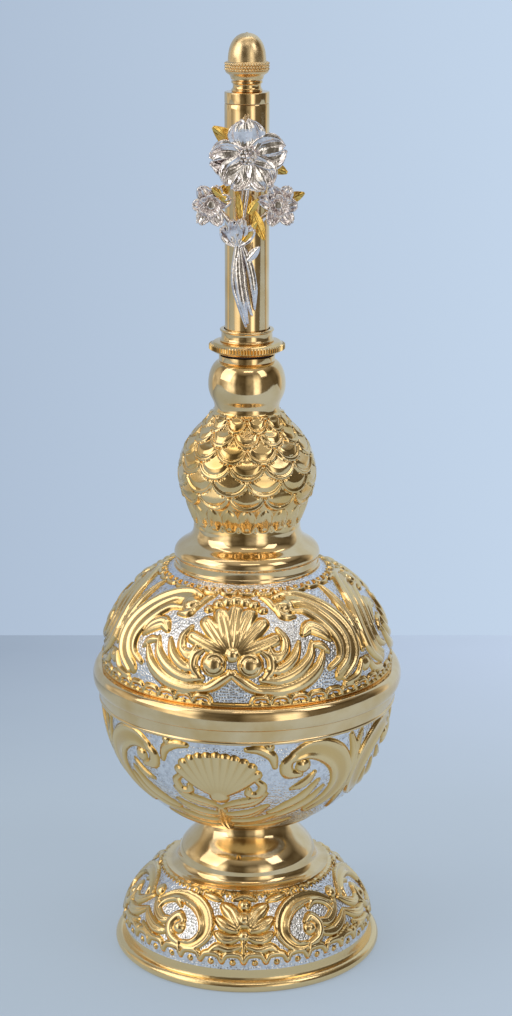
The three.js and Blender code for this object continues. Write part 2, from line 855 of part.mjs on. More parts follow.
/** The knurled nut that screws on the ferrule and carries the tube. */
function knurledNut() {
  const core = turned(
    [
      [neckBoreRadius, nutBase],
      [nutCoreRadius - nutEdgeChamfer, nutBase],
      [nutCoreRadius, nutBase + nutEdgeChamfer],
      [nutCoreRadius, nutTop - nutEdgeChamfer],
      [nutCoreRadius - nutEdgeChamfer, nutTop],
      [neckBoreRadius, nutTop],
    ],
    spoutFacets * 2,
  );
  const shape = new THREE.Shape();
  const root = nutCoreRadius - 0.1;
  for (let i = 0; i < 2 * nutTeeth; i++) {
    const a = (Math.PI * i) / nutTeeth;
    const r = i % 2 ? root : nutRadius;
    if (i) shape.lineTo(r * Math.cos(a), r * Math.sin(a));
    else shape.moveTo(r, 0);
  }
  shape.closePath();
  const hole = new THREE.Path();
  hole.absarc(0, 0, nutCoreRadius - 2, 0, 2 * Math.PI, true);
  shape.holes.push(hole);
  const teeth = new THREE.ExtrudeGeometry(shape, { depth: nutKnurlBand, bevelEnabled: false, curveSegments: 12 });
  teeth.translate(0, 0, nutBase + (nutHeight - nutKnurlBand) / 2);
  return geometryOf(solid(core).add(solid(teeth)));
}

/** The collar ring soldered round the tube's foot. */
function spoutCollar() {
  const inside = tubeRadius + slipGap;
  const waist = spoutCollarRadius - 0.4;
  return turned(
    [
      [inside, nutTop],
      [spoutCollarRadius, nutTop],
      [spoutCollarRadius, nutTop + spoutCollarBand],
      [waist, nutTop + spoutCollarBand + 0.3],
      [waist, nutTop + spoutCollarHeight - spoutCollarBand - 0.3],
      [spoutCollarRadius, nutTop + spoutCollarHeight - spoutCollarBand],
      [spoutCollarRadius, nutTop + spoutCollarHeight],
      [inside, nutTop + spoutCollarHeight],
    ],
    spoutFacets,
  );
}

/** The spout's tube. */
function spoutTube() {
  return turned(
    [
      [tubeRadius - tubeWall, nutTop],
      [tubeRadius, nutTop],
      [tubeRadius, tubeTop - tubeEdgeChamfer],
      [tubeRadius - tubeEdgeChamfer, tubeTop],
      [tubeRadius - tubeWall, tubeTop],
    ],
    spoutFacets,
  );
}

/** The bush in the tube's top, bored for the sprinkler head. */
function tubeTopBush() {
  const bore = headThreadRadius + slipGap;
  const plug = tubeRadius - tubeWall - slipGap;
  return turned(
    [
      [bore, tubeTop - bushPlugLength],
      [plug, tubeTop - bushPlugLength],
      [plug, tubeTop],
      [tubeRadius - tubeEdgeChamfer, tubeTop],
      [tubeRadius, tubeTop + tubeEdgeChamfer],
      [tubeRadius, bushTop - tubeEdgeChamfer],
      [tubeRadius - tubeEdgeChamfer, bushTop],
      [bore, bushTop],
    ],
    spoutFacets,
  );
}

/** The sprinkler head: ringed neck, threaded stub and pierced rose. */
function sprinklerHead() {
  const body = turned(
    [
      [headBoreRadius, bushTop - headSpigotLength],
      [headThreadRadius, bushTop - headSpigotLength],
      [headThreadRadius, bushTop],
      [headNeckRadius, bushTop],
      [headNeckRadius, bushTop + headGrooveBand],
      [headGrooveRadius, bushTop + 1.4 * headGrooveBand],
      [headGrooveRadius, headRing - 1.4 * headGrooveBand],
      [headNeckRadius, headRing - headGrooveBand],
      [headNeckRadius, headRing],
      [capThreadRadius, headRing],
      [capThreadRadius, roseTop],
      [0, roseTop],
      [0, roseTop - roseThickness],
      [headBoreRadius, roseTop - roseThickness],
    ],
    spoutFacets,
  );
  let made = solid(body);
  for (let i = 0; i <= roseHoles; i++) {
    const circle = i === roseHoles ? 0 : roseHoleCircle;
    const a = (2 * Math.PI * i) / roseHoles;
    const drill = rod(roseHoleRadius, roseTop - 2 * roseThickness, roseTop + roseThickness, 8);
    drill.translate(circle * Math.cos(a), circle * Math.sin(a), 0);
    made = made.subtract(solid(drill));
  }
  return geometryOf(made);
}

/** The acorn cap: threaded socket, knurled band and plain acorn. */
function acornCap() {
  const bandFoot = capBase + capBandBase;
  const bandTop = bandFoot + capBandHeight;
  const ceiling = roseTop + linerHeight;
  return turned(
    [
      [capBoreRadius, capBase],
      [capFootRadius, capBase],
      ...bent(
        [capFootRadius, capBase],
        [capFootRadius + 0.3, capBase + 0.8 * capBandBase],
        [capBandRadius - 0.4, capBase + 0.5 * capBandBase],
        [capBandRadius, bandFoot],
        3,
      ).slice(1),
      [capBandRadius, bandTop - 0.3],
      [capBandRadius - 0.4, bandTop],
      [acornRadius, bandTop],
      ...bent(
        [acornRadius, bandTop + 0.1],
        [acornRadius, bandTop + 0.62 * acornHeight],
        [0.62 * acornRadius, capTop],
        [0, capTop],
        7,
      ).slice(1),
      [0, ceiling],
      [capBoreRadius, ceiling],
    ],
    spoutFacets,
  );
}

// Places of the flower spray, in front of the tube
const blossomCentre = new V3(mainBlossomX, -tubeRadius - mainBlossomStandoff, bushTop - mainBlossomDrop);
const sideCentre = (side) =>
  new V3(side * sideBlossomSpread + sideBlossomShift, -tubeRadius - sideBlossomStandoff, bushTop - sideBlossomDrop);

/** A point of a twig that lies against the tube's front, at a width and height. */
function onTube(x, z, radius, lift = 0) {
  const reach = tubeRadius + sprayGap + radius + lift;
  return new THREE.Vector4(x, -Math.sqrt(Math.max(0, reach * reach - x * x)), z, radius);
}

/** The twigs of the spray, joined: a bundle low on the tube that forks to the blossoms. */
function flowerStem() {
  const fork = sideCentre(-1).z - twigForkDrop;
  const tip = nutTop + spoutCollarHeight + sprayGap;
  const length = fork - tip;
  const r = stemTwigRadius;
  const wide = tubeRadius;
  const back = blossomCentre.y + mainBossBack + sprayGap + r;
  const sideBack = sideCentre(-1).y + sideBossBack + sprayGap + 0.8 * r;
  const forkPoint = onTube(-0.4 * wide, fork, r);
  const toSide = (side) => [
    forkPoint,
    new THREE.Vector4(side < 0 ? -0.83 * wide : 0.55 * wide, sideBack + 0.2 * r, fork + 0.58 * twigForkDrop, 0.9 * r),
    new THREE.Vector4(sideCentre(side).x, sideBack, sideCentre(side).z, 0.8 * r),
  ];
  const twigs = [
    [
      onTube(-0.03 * wide, tip + 0.04 * length, 0.4 * r),
      onTube(-0.31 * wide, tip + 0.32 * length, r),
      onTube(-0.55 * wide, tip + 0.56 * length, r),
      forkPoint,
      new THREE.Vector4(-0.06 * wide, back + 0.5 * r, fork + 0.6 * (blossomCentre.z - fork), r),
      new THREE.Vector4(mainBlossomX, back, blossomCentre.z, r),
    ],
    [
      onTube(0.22 * wide, tip + 0.18 * length, 0.4 * r),
      onTube(-0.06 * wide, tip + 0.44 * length, 0.9 * r),
      onTube(-0.18 * wide, tip + 0.68 * length, 0.9 * r),
      onTube(-0.34 * wide, fork, 0.9 * r),
    ],
    toSide(-1),
    toSide(1),
  ];
  const made = twigs.map((points) => solid(twig(points, 7)));
  return made.reduce((all, one) => all.add(one));
}

/** Petals set round a short boss whose back stands just clear of the twig behind it. */
function blossom(centre, angles, length, width, lift, bossRadius, backReach) {
  const boss = new THREE.CylinderGeometry(bossRadius, bossRadius, backReach + bossFront, 10);
  boss.translate(centre.x, centre.y + (backReach - bossFront) / 2, centre.z);
  return angles.reduce((all, [degrees, share]) => {
    const one = facing(petal(length * share, width, lift, petalThickness), degrees, centre);
    return all.add(solid(one));
  }, solid(boss));
}

/** The domed bunch of stamens in the middle of the main blossom. */
function stamens() {
  const front = blossomCentre.y - bossFront;
  const outline = [[0, 0], ...bead(0, 0, stamenRadius, stamenHeight, 0, 90, 4).slice(0, -1), [0, stamenHeight]];
  const button = turned(outline, 12);
  return button.rotateX(Math.PI / 2).translate(blossomCentre.x, front, blossomCentre.z);
}

/** A gilt leaf behind a blossom: it starts clear of the blossom's boss and stays behind the petals. */
function blossomLeaf(centre, degrees, start, length, width) {
  const behind = petalThickness / 2 + sprayGap + leafThickness / 2;
  const at = centre.clone().add(new V3(0, behind, 0));
  return facing(leaf(start, length, width, leafLift, leafThickness), degrees, at);
}

/** A gilt leaf that lies in front of the fork of the twigs. */
function forkLeaf(degrees) {
  const at = new V3(forkLeafX, sideCentre(-1).y - leafLift, sideCentre(-1).z - mainBossRadius);
  return facing(leaf(0, forkLeafLength, forkLeafWidth, 2 * leafLift, leafThickness), degrees, at);
}

const stem = flowerStem();
const mainPetals = [[92, 0.94], [8, 1.0], [188, 1.0], [238, 0.98], [304, 0.98]];
const sidePetals = [[80, 0.9], [150, 1.0], [222, 0.95], [300, 0.95], [10, 1.0]];
const rightPetals = sidePetals.map(([degrees, share]) => [180 - degrees, share]);
const smallBlossom = (side, petals) =>
  blossom(sideCentre(side), petals, sidePetalLength, sidePetalWidth, sidePetalLift, sideBossRadius, sideBossBack);
const blossoms = {
  main_blossom: blossom(blossomCentre, mainPetals, petalLength, petalWidth, petalLift, mainBossRadius, mainBossBack),
  left_blossom: smallBlossom(-1, sidePetals),
  right_blossom: smallBlossom(1, rightPetals),
};

add("foot_shell", footShell(), embossed);
add("stem_cone", stemCone(), gilt);
add("foot_stud", footStud(), bareBrass);
add("foot_washer", washer(studRadius + slipGap, footWasherRadius, footTop - sheetWall - footWasherHeight,
  footWasherHeight), bareBrass);
add("foot_nut", footNut(), bareBrass);
add("lower_bowl", lowerBowl(), embossed);
add("lip_band", lipBand(), gilt);
add("equator_ring", equatorRing(), gilt);
add("upper_dome", upperDome(), embossed);
add("shoulder_collar", shoulderCollar(), gilt);
add("scale_knop", scaleKnop(), gilt);
add("plain_knop", plainKnop(), gilt);
add("neck_ferrule", neckFerrule(), gilt);
add("neck_washer", washer(neckBoreRadius, neckWasherRadius, ferruleTop, neckWasherHeight), sealing);
add("knurled_nut", knurledNut(), gilt);
add("spout_collar", spoutCollar(), gilt);
add("spout_tube", spoutTube(), gilt);
add("tube_top_bush", tubeTopBush(), gilt);
add("sprinkler_head", sprinklerHead(), gilt);
add("cap_liner", washer(0, linerRadius, roseTop, linerHeight), sealing);
add("acorn_cap", acornCap(), gilt);
add("flower_stem", geometryOf(stem), silvered);
for (const [name, made] of Object.entries(blossoms)) add(name, geometryOf(made), silvered);
add("blossom_stamens", stamens(), silvered);
const mainStart = mainBossRadius + 2 * sprayGap;
const sideStart = sideBossRadius + 2 * sprayGap;
add("leaf_upper_left", blossomLeaf(blossomCentre, 141, mainStart, largeLeafLength, largeLeafWidth), gilt);
add("leaf_lower_right", blossomLeaf(blossomCentre, 336, mainStart, mediumLeafLength, mediumLeafWidth), gilt);
add("leaf_left", blossomLeaf(sideCentre(-1), 48, sideStart, smallLeafLength, smallLeafWidth), gilt);
add("leaf_right", blossomLeaf(sideCentre(1), 24, sideStart, smallLeafLength, smallLeafWidth), gilt);
add("leaf_fork_low", forkLeaf(292), gilt);

export default group;
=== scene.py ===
"""Looks of a holy water sprinkler: an embossed, gilt and silvered flask on a foot.

Size fields are millimetres; Blender's meshes are metres. +Z runs up the turning axis and
-Y is the front, where the cast flower spray sits on the spout. Each sub-assembly is a class
with its sizes as fields, and each surface finish is a small class that makes its material.
"""

import logging
import math
from collections.abc import Sequence
from dataclasses import dataclass, replace
from enum import Enum

import bpy
import numpy as np
from mathutils import Matrix, Vector


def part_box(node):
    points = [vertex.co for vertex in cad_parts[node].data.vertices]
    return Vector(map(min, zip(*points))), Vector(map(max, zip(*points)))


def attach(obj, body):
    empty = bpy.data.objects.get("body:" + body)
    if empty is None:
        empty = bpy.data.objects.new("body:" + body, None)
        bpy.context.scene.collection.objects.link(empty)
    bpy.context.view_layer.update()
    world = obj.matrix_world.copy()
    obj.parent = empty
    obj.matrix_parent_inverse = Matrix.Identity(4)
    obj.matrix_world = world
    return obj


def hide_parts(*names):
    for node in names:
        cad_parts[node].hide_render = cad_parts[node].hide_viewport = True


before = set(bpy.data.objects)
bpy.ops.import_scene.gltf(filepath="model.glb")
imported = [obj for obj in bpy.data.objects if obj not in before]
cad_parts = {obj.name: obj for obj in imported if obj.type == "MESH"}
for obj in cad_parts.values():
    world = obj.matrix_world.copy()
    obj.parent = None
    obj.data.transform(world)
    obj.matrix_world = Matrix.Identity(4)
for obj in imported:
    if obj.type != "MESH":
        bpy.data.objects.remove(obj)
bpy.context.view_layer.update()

MM = 0.001
WELD = 0.004  # mm within which the points of a spun outline become one
CREASE = 65.0  # degrees; edges of chased sheet that turn by more stay sharp
ON_SKIN = 0.2  # mm from a zone's line within which a point belongs to its skin
ON_WALL = 0.02  # mm within which a point lies on a plain round wall
Point = tuple[float, float]
Place = tuple[float, float, float]
Piece = bpy.types.Object
Socket = bpy.types.NodeSocket
Material = bpy.types.Material
log = logging.getLogger("sprinkler")


# Curves of the profiles


def swell(radius: float, rise: float, power: float, cut: float, base: float, steps: int,
          down: bool = False) -> list[Point]:
    """Quarter of a superellipse, from its widest point to the radius it is cut at.

    Args:
        radius: widest radius.
        rise: full height of the quarter.
        power: 2 is an ellipse, less is pointed, more is squarer.
        cut: radius at which the curve ends.
        base: height of the widest point.
        steps: number of spans.
        down: runs down from the base instead of up.

    Returns:
        (radius, height) points.
    """
    last = math.acos((cut / radius) ** (power / 2))
    sign = -1.0 if down else 1.0
    points = []
    for i in range(steps + 1):
        t = last * i / steps
        points.append((radius * math.cos(t) ** (2 / power), base + sign * rise * math.sin(t) ** (2 / power)))
    return points


def bent(a: Point, b: Point, c: Point, d: Point, steps: int) -> list[Point]:
    """Cubic curve through two end points and two handles.

    Args:
        a: start.
        b: first handle.
        c: second handle.
        d: end.
        steps: number of spans.

    Returns:
        (radius, height) points.
    """
    points = []
    for i in range(steps + 1):
        t = i / steps
        k = ((1 - t) ** 3, 3 * t * (1 - t) ** 2, 3 * t * t * (1 - t), t ** 3)
        points.append(tuple(sum(w * p[n] for w, p in zip(k, (a, b, c, d))) for n in (0, 1)))
    return points


def bead(radius: float, height: float, reach: float, rise: float, start: float, end: float,
         steps: int) -> list[Point]:
    """Arc of a bead round (radius, height), between two angles in degrees, 0 pointing outwards."""
    angles = [math.radians(start + (end - start) * i / steps) for i in range(steps + 1)]
    return [(radius + reach * math.cos(a), height + rise * math.sin(a)) for a in angles]


def even(points: Sequence[Point], step: float) -> list[Point]:
    """The same line with points at an even spacing.

    Args:
        points: a line.
        step: wanted spacing in mm.

    Returns:
        Points at that spacing, with both ends kept.
    """
    line = np.array(points)
    arc = np.concatenate([[0.0], np.cumsum(np.hypot(*np.diff(line, axis=0).T))])
    at = np.linspace(0.0, arc[-1], max(2, round(arc[-1] / step) + 1))
    return list(zip(np.interp(at, arc, line[:, 0]).tolist(), np.interp(at, arc, line[:, 1]).tolist()))


def offset(points: Sequence[Point], inwards: float | Sequence[float]) -> list[Point]:
    """A line moved sideways, towards the axis on a line that runs up the outside.

    Args:
        points: a line.
        inwards: distance in mm, or one for each point.

    Returns:
        The moved line.
    """
    line = np.array(points)
    slope = np.gradient(line, axis=0)
    slope /= np.linalg.norm(slope, axis=1, keepdims=True)
    amount = np.broadcast_to(np.asarray(inwards, float), len(line))[:, None]
    moved = line + amount * np.stack([-slope[:, 1], slope[:, 0]], axis=1)
    return [tuple(p) for p in moved.tolist()]


def eased(points: Sequence[Point], radius: float, closed: bool = True) -> list[Point]:
    """An outline with its sharp corners broken, as a polished edge is.

    Args:
        points: an outline.
        radius: length taken off each side of a corner, in mm.
        closed: whether the outline closes on itself.

    Returns:
        The outline with four points in the place of each sharp corner.
    """
    made: list[Point] = []
    count = len(points)
    for i, here in enumerate(points):
        if not closed and i in (0, count - 1):
            made.append(tuple(here))
            continue
        p, a, b = (Vector(q) for q in (here, points[i - 1], points[(i + 1) % count]))
        if (a - p).length < 1e-6 or (b - p).length < 1e-6 or abs((a - p).angle(b - p) - math.pi) < 0.35:
            made.append(tuple(here))
            continue
        first = p + (a - p).normalized() * min(radius, 0.4 * (a - p).length)
        last = p + (b - p).normalized() * min(radius, 0.4 * (b - p).length)
        for t in (0.0, 0.33, 0.67, 1.0):
            q = first * (1 - t) ** 2 + p * 2 * t * (1 - t) + last * t * t
            made.append((q.x, q.y))
    return made


def sunk(line: list[Point], depth: float, rows: float, from_start: bool = True) -> list[Point]:
    """The ground of an embossed zone, let into the sheet except at its ends.

    Args:
        line: the plain outline.
        depth: how deep the ground lies, in mm.
        rows: number of points over which it goes down.
        from_start: whether it goes down at the start too, or lies low there already.

    Returns:
        The ground's line.
    """
    count = np.arange(len(line))
    ends = np.minimum(count, count[::-1]) if from_start else count[::-1]
    return offset(line, depth * np.minimum(1.0, ends / rows))


def level(node: str) -> tuple[float, float]:
    """Lowest and highest point of a CAD node at rest, in mm."""
    low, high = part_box(node)
    return low.z / MM, high.z / MM


# Modelling with operators


def deselect() -> None:
    """Leaves edit mode and deselects everything."""
    active = bpy.context.view_layer.objects.active
    if active is not None and active.mode != "OBJECT":
        bpy.ops.object.mode_set(mode="OBJECT")
    bpy.ops.object.select_all(action="DESELECT")


def take(piece: Piece) -> None:
    """Selects one object alone and makes it the active one."""
    deselect()
    piece.select_set(True)
    bpy.context.view_layer.objects.active = piece


def editing(piece: Piece) -> None:
    """Enters edit mode on a piece, with all of it selected."""
    take(piece)
    bpy.ops.object.mode_set(mode="EDIT")
    bpy.ops.mesh.select_mode(type="VERT")
    bpy.ops.mesh.select_all(action="SELECT")


def picking(piece: Piece, chosen: np.ndarray) -> None:
    """Enters edit mode with only the chosen vertices selected.

    Args:
        piece: a mesh object.
        chosen: one true or false for each vertex.
    """
    editing(piece)
    bpy.ops.mesh.select_all(action="DESELECT")
    bpy.ops.object.mode_set(mode="OBJECT")
    piece.data.vertices.foreach_set("select", chosen.astype(bool))
    bpy.ops.object.mode_set(mode="EDIT")


def points_of(piece: Piece) -> np.ndarray:
    """Vertices of a mesh object, in mm."""
    flat = np.empty(len(piece.data.vertices) * 3)
    piece.data.vertices.foreach_get("co", flat)
    return flat.reshape(-1, 3) / MM


def put_points(piece: Piece, points: np.ndarray) -> None:
    """Moves the vertices of a mesh object to new places, given in mm."""
    piece.data.vertices.foreach_set("co", (points * MM).astype(np.float32).ravel())
    piece.data.update()


def apply_all(piece: Piece) -> None:
    """Applies every modifier of a piece, in order."""
    take(piece)
    for modifier in list(piece.modifiers):
        bpy.ops.object.modifier_apply(modifier=modifier.name)


def settle(piece: Piece, name: str, smooth: float = 180.0) -> Piece:
    """Gives a finished piece its name, its place in its mesh, and its shading.

    Args:
        piece: the object.
        name: its name.
        smooth: edges that turn by more than this many degrees stay sharp.

    Returns:
        The same object.
    """
    take(piece)
    bpy.ops.object.transform_apply(location=True, rotation=True, scale=True)
    if smooth >= 180.0:
        bpy.ops.object.shade_smooth()
    else:
        bpy.ops.object.shade_smooth_by_angle(angle=math.radians(smooth))
    piece.name = name
    piece.data.name = name
    return piece


def turn(name: str, outline: Sequence[Point], facets: int, closed: bool = True,
         smooth: float = 40.0) -> Piece:
    """Turns an outline about the flask's axis, as a spinner does on the lathe.

    A small plane is set at the outline's first point and merged to one vertex, the vertex is
    extruded from point to point, and the line is spun round.

    Args:
        name: the piece's name.
        outline: (radius, height) points; an open outline starts and ends on the axis.
        facets: number of steps round.
        closed: whether the outline closes on itself.
        smooth: edges sharper than this many degrees stay sharp.

    Returns:
        The turned piece.
    """
    deselect()
    radius, height = outline[0]
    bpy.ops.mesh.primitive_plane_add(size=MM, location=(radius * MM, 0.0, height * MM))
    piece = bpy.context.active_object
    editing(piece)
    bpy.ops.mesh.merge(type="CENTER")
    line = list(outline) + ([outline[0]] if closed else [])
    for (ra, za), (rb, zb) in zip(line, line[1:]):
        step = ((rb - ra) * MM, 0.0, (zb - za) * MM)
        bpy.ops.mesh.extrude_vertices_move(TRANSFORM_OT_translate={"value": step})
    bpy.ops.mesh.select_all(action="SELECT")
    bpy.ops.mesh.spin(steps=facets, angle=math.tau, center=(0.0, 0.0, 0.0), axis=(0.0, 0.0, 1.0))
    bpy.ops.mesh.select_all(action="SELECT")
    bpy.ops.mesh.remove_doubles(threshold=WELD * MM)
    bpy.ops.mesh.normals_make_consistent(inside=False)
    return settle(piece, name, smooth)


def raise_by(piece: Piece, heights: np.ndarray, smooth: float = 180.0) -> None:
    """Raises the surface along its normals by a height for each vertex, in mm.

    The heights become a vertex group, and a Displace modifier that reads it is applied.

    Args:
        piece: a mesh object.
        heights: one height for each vertex, none below zero.
        smooth: edges sharper than this many degrees stay sharp.
    """
    peak = float(heights.max())
    group = piece.vertex_groups.new(name="relief")
    for index in np.flatnonzero(heights > 1e-4).tolist():
        group.add((index,), float(heights[index]) / peak, "REPLACE")
    press = piece.modifiers.new("relief", "DISPLACE")
    press.vertex_group = group.name
    press.direction = "NORMAL"
    press.mid_level = 0.0
    press.strength = peak * MM
    apply_all(piece)
    piece.vertex_groups.clear()
    settle(piece, piece.name, smooth)


def mark(piece: Piece, name: str, values: np.ndarray) -> None:
    """Stores one number for each vertex, which the piece's material reads."""
    layer = piece.data.attributes.new(name, "FLOAT", "POINT")
    layer.data.foreach_set("value", values.astype(np.float32))


def joined(pieces: Sequence[Piece], name: str) -> Piece:
    """Joins several mesh objects into one.

    Args:
        pieces: mesh objects; the first one stays.
        name: the name of the result.

    Returns:
        The joined object.
    """
    deselect()
    for piece in pieces:
        piece.select_set(True)
    bpy.context.view_layer.objects.active = pieces[0]
    if len(pieces) > 1:
        bpy.ops.object.join()
    pieces[0].name = name
    pieces[0].data.name = name
    return pieces[0]


# Chased ornament


class Tool(Enum):
    """What a stroke of the chaser leaves in the sheet."""

    RIDGE = "ridge"  # a plain rounded ridge
    LEAF = "leaf"  # a ridge with a vein down its middle
    BODY = "body"  # a broad pad with rounded edges
    TROUGH = "trough"  # a broad band between two raised edges
    CUT = "cut"  # a groove


@dataclass(frozen=True)
class Stroke:
    """One chased line. Points are (degrees from the motif's middle, mm up the surface)."""

    points: tuple[Point, ...]
    half: tuple[float, float, float] = (0.3, 1.0, 0.3)  # half-width at start, middle and end
    height: float = 1.0
    tool: Tool = Tool.RIDGE

    def mirrored(self) -> "Stroke":
        """The same stroke on the other side of the motif's middle."""
        return replace(self, points=tuple((-a, s) for a, s in self.points))


def ball(angle: float, arc: float, radius: float, height: float) -> Stroke:
    """A round boss, which is a stroke of next to no length."""
    return Stroke(((angle, arc), (angle + 0.05, arc)), (radius, radius, radius), height)


def hoop(angle: float, arc: float, radius: float, around: float, half: float, height: float,
         start: float = 0.0, sweep: float = 360.0, grow: float = 0.0, tool: Tool = Tool.RIDGE) -> Stroke:
    """A ring or curl of one stroke.

    Args:
        angle: degrees from the motif's middle.
        arc: mm up the surface.
        radius: radius of the ring in mm.
        around: radius of the flask there, which turns mm into degrees.
        half: half-width of the stroke.
        height: its height.
        start: angle of its first point, 0 to the right, in degrees.
        sweep: how far it runs, in degrees.
        grow: how much the radius grows along it, in mm.
        tool: what it leaves in the sheet.

    Returns:
        The stroke.
    """
    points = []
    for i in range(13):
        t = math.radians(start + sweep * i / 12)
        r = radius + grow * i / 12
        points.append((angle + math.degrees(r * math.cos(t) / around), arc + r * math.sin(t)))
    return Stroke(tuple(points), (half, half, half), height, tool)


def mirror_all(strokes: Sequence[Stroke]) -> list[Stroke]:
    """The strokes with their mirror images."""
    return [copy for stroke in strokes for copy in (stroke, stroke.mirrored())]


@dataclass
class Zone:
    """An embossed zone: its line on the profile and the strokes that repeat round it."""

    line: list[Point]
    strokes: list[Stroke]
    repeats: int = 3
    middle: float = 0.0  # degrees from the front to the middle of the first motif
    stand: float = 0.85  # how high the strokes stand, as a share of their drawn height

    def __post_init__(self) -> None:
        """Measures the line."""
        self.path = np.array(self.line)
        self.arc = np.concatenate([[0.0], np.cumsum(np.hypot(*np.diff(self.path, axis=0).T))])

    def place(self, degrees: np.ndarray, arc: np.ndarray) -> np.ndarray:
        """Points on the bare surface, in mm, for angles from the front and arc lengths."""
        radius = np.interp(arc, self.arc, self.path[:, 0])
        turned = np.radians(degrees)
        return np.stack([radius * np.sin(turned), -radius * np.cos(turned),
                         np.interp(arc, self.arc, self.path[:, 1])], axis=-1)

    def locate(self, points: np.ndarray) -> tuple[np.ndarray, np.ndarray, np.ndarray]:
        """Finds where points lie on the zone.

        Args:
            points: points in mm.

        Returns:
            Angle from the front in degrees, arc length in mm, and distance from the line.
        """
        flat = np.stack([np.hypot(points[:, 0], points[:, 1]), points[:, 2]], axis=1)
        best = np.full(len(flat), 1e9)
        arc = np.zeros(len(flat))
        for i in range(len(self.path) - 1):
            a, b = self.path[i], self.path[i + 1]
            span = b - a
            t = np.clip(((flat - a) @ span) / (span @ span), 0.0, 1.0)
            gap = np.hypot(*(flat - a - t[:, None] * span).T)
            nearer = gap < best
            best = np.where(nearer, gap, best)
            arc = np.where(nearer, self.arc[i] + t * math.sqrt(span @ span), arc)
        return np.degrees(np.arctan2(points[:, 0], -points[:, 1])), arc, best

    def relief(self, degrees: np.ndarray, arc: np.ndarray) -> tuple[np.ndarray, np.ndarray]:
        """Height of the ornament at places of the zone.

        Args:
            degrees: angles from the front.
            arc: mm up the surface.

        Returns:
            Height in mm, and how far the gilding covers the place, from 0 to 1.
        """
        here = self.place(degrees, arc)
        height = np.zeros(len(here))
        gild = np.zeros(len(here))
        cut = np.zeros(len(here))
        for stroke in self.strokes:
            for k in range(self.repeats):
                self._press(stroke, self.middle + 360.0 * k / self.repeats, here, height, gild, cut)
        return self.stand * np.maximum(height - cut, 0.0), gild

    def _press(self, stroke: Stroke, turned: float, here: np.ndarray, height: np.ndarray,
               gild: np.ndarray, cut: np.ndarray) -> None:
        """Adds one copy of a stroke to the height, gilding and cut of every place near it."""
        line = self._flowing(np.array(stroke.points, float))
        spine = self.place(line[:, 0] + turned, line[:, 1])
        reach = max(stroke.half) + 1.2
        low, high = spine.min(axis=0) - reach, spine.max(axis=0) + reach
        near = np.flatnonzero(((here > low) & (here < high)).all(axis=1))
        if not len(near):
            return
        at = here[near]
        run = np.linspace(0.0, 1.0, len(spine))
        start, middle, end = stroke.half
        half = np.where(run < 0.5, start + (middle - start) * np.sin(run * math.pi),
                        end + (middle - end) * np.sin(run * math.pi))
        ratio = np.full(len(near), 1e9)
        beyond = np.full(len(near), 1e9)
        share = np.ones(len(near))
        for i in range(len(spine) - 1):
            span = spine[i + 1] - spine[i]
            t = np.clip(((at - spine[i]) @ span) / max(span @ span, 1e-9), 0.0, 1.0)
            gap = np.linalg.norm(at - spine[i] - t[:, None] * span, axis=1)
            wide = half[i] + (half[i + 1] - half[i]) * t
            nearer = gap / wide < ratio
            ratio = np.where(nearer, gap / wide, ratio)
            share = np.where(nearer, wide / max(stroke.half), share)
            beyond = np.minimum(beyond, gap - wide)
        rounded = np.clip(1.0 - ratio ** 2, 0.0, 1.0)
        if stroke.tool is Tool.CUT:
            cut[near] = np.maximum(cut[near], stroke.height * rounded)
            return
        shape = rounded ** 0.75
        if stroke.tool is Tool.LEAF:
            shape *= 1.0 - 0.38 * np.exp(-(ratio / 0.2) ** 2)
        elif stroke.tool is Tool.BODY:
            shape = 1.0 - np.clip(ratio, 0.0, 1.0) ** 4
        elif stroke.tool is Tool.TROUGH:
            shape = np.interp(ratio, (0.0, 0.3, 0.6, 0.78, 0.9, 1.0), (0.45, 0.5, 0.85, 1.0, 0.7, 0.0))
        height[near] = np.maximum(height[near], stroke.height * shape * share ** 0.5)
        gild[near] = np.maximum(gild[near], np.clip((0.5 - beyond) / 0.35, 0.0, 1.0))

    @staticmethod
    def _flowing(points: np.ndarray, spans: int = 5) -> np.ndarray:
        """A smooth line through the points of a stroke."""
        if len(points) < 3:
            return points
        padded = np.concatenate([[2 * points[0] - points[1]], points, [2 * points[-1] - points[-2]]])
        made = []
        for i in range(1, len(padded) - 2):
            a, b, c, d = padded[i - 1:i + 3]
            for t in np.arange(spans) / spans:
                made.append(0.5 * (2 * b + (c - a) * t + (2 * a - 5 * b + 4 * c - d) * t ** 2
                                   + (3 * b - 3 * c + d - a) * t ** 3))
        made.append(padded[-2])
        return np.array(made)


def emboss(piece: Piece, zone: Zone) -> None:
    """Raises a zone's ornament on a turned piece and stores where its gilding lies.

    Args:
        piece: the turned piece.
        zone: the zone, whose line lies on the piece's skin.
    """
    points = points_of(piece)
    degrees, arc, gap = zone.locate(points)
    skin = np.flatnonzero((gap < ON_SKIN) & (arc > 0.02) & (arc < zone.arc[-1] - 0.02))
    height = np.zeros(len(points))
    gild = np.ones(len(points))
    height[skin], gild[skin] = zone.relief(degrees[skin], arc[skin])
    # The heights also drive painted shade: low places of the gold get a deeper yellow
    tone = np.ones(len(points))  # the plain rims are as bright as the crests
    tone[skin] = height[skin]
    mark(piece, "gilding", gild)
    mark(piece, "relief", tone)
    raise_by(piece, height, CREASE)


# Finishes


def linear(code: str) -> tuple[float, float, float, float]:
    """A screen colour such as #F6D98F as linear red, green, blue and alpha."""
    parts = [int(code[i:i + 2], 16) / 255 for i in (1, 3, 5)]
    return (*(p / 12.92 if p <= 0.04045 else ((p + 0.055) / 1.055) ** 2.4 for p in parts), 1.0)


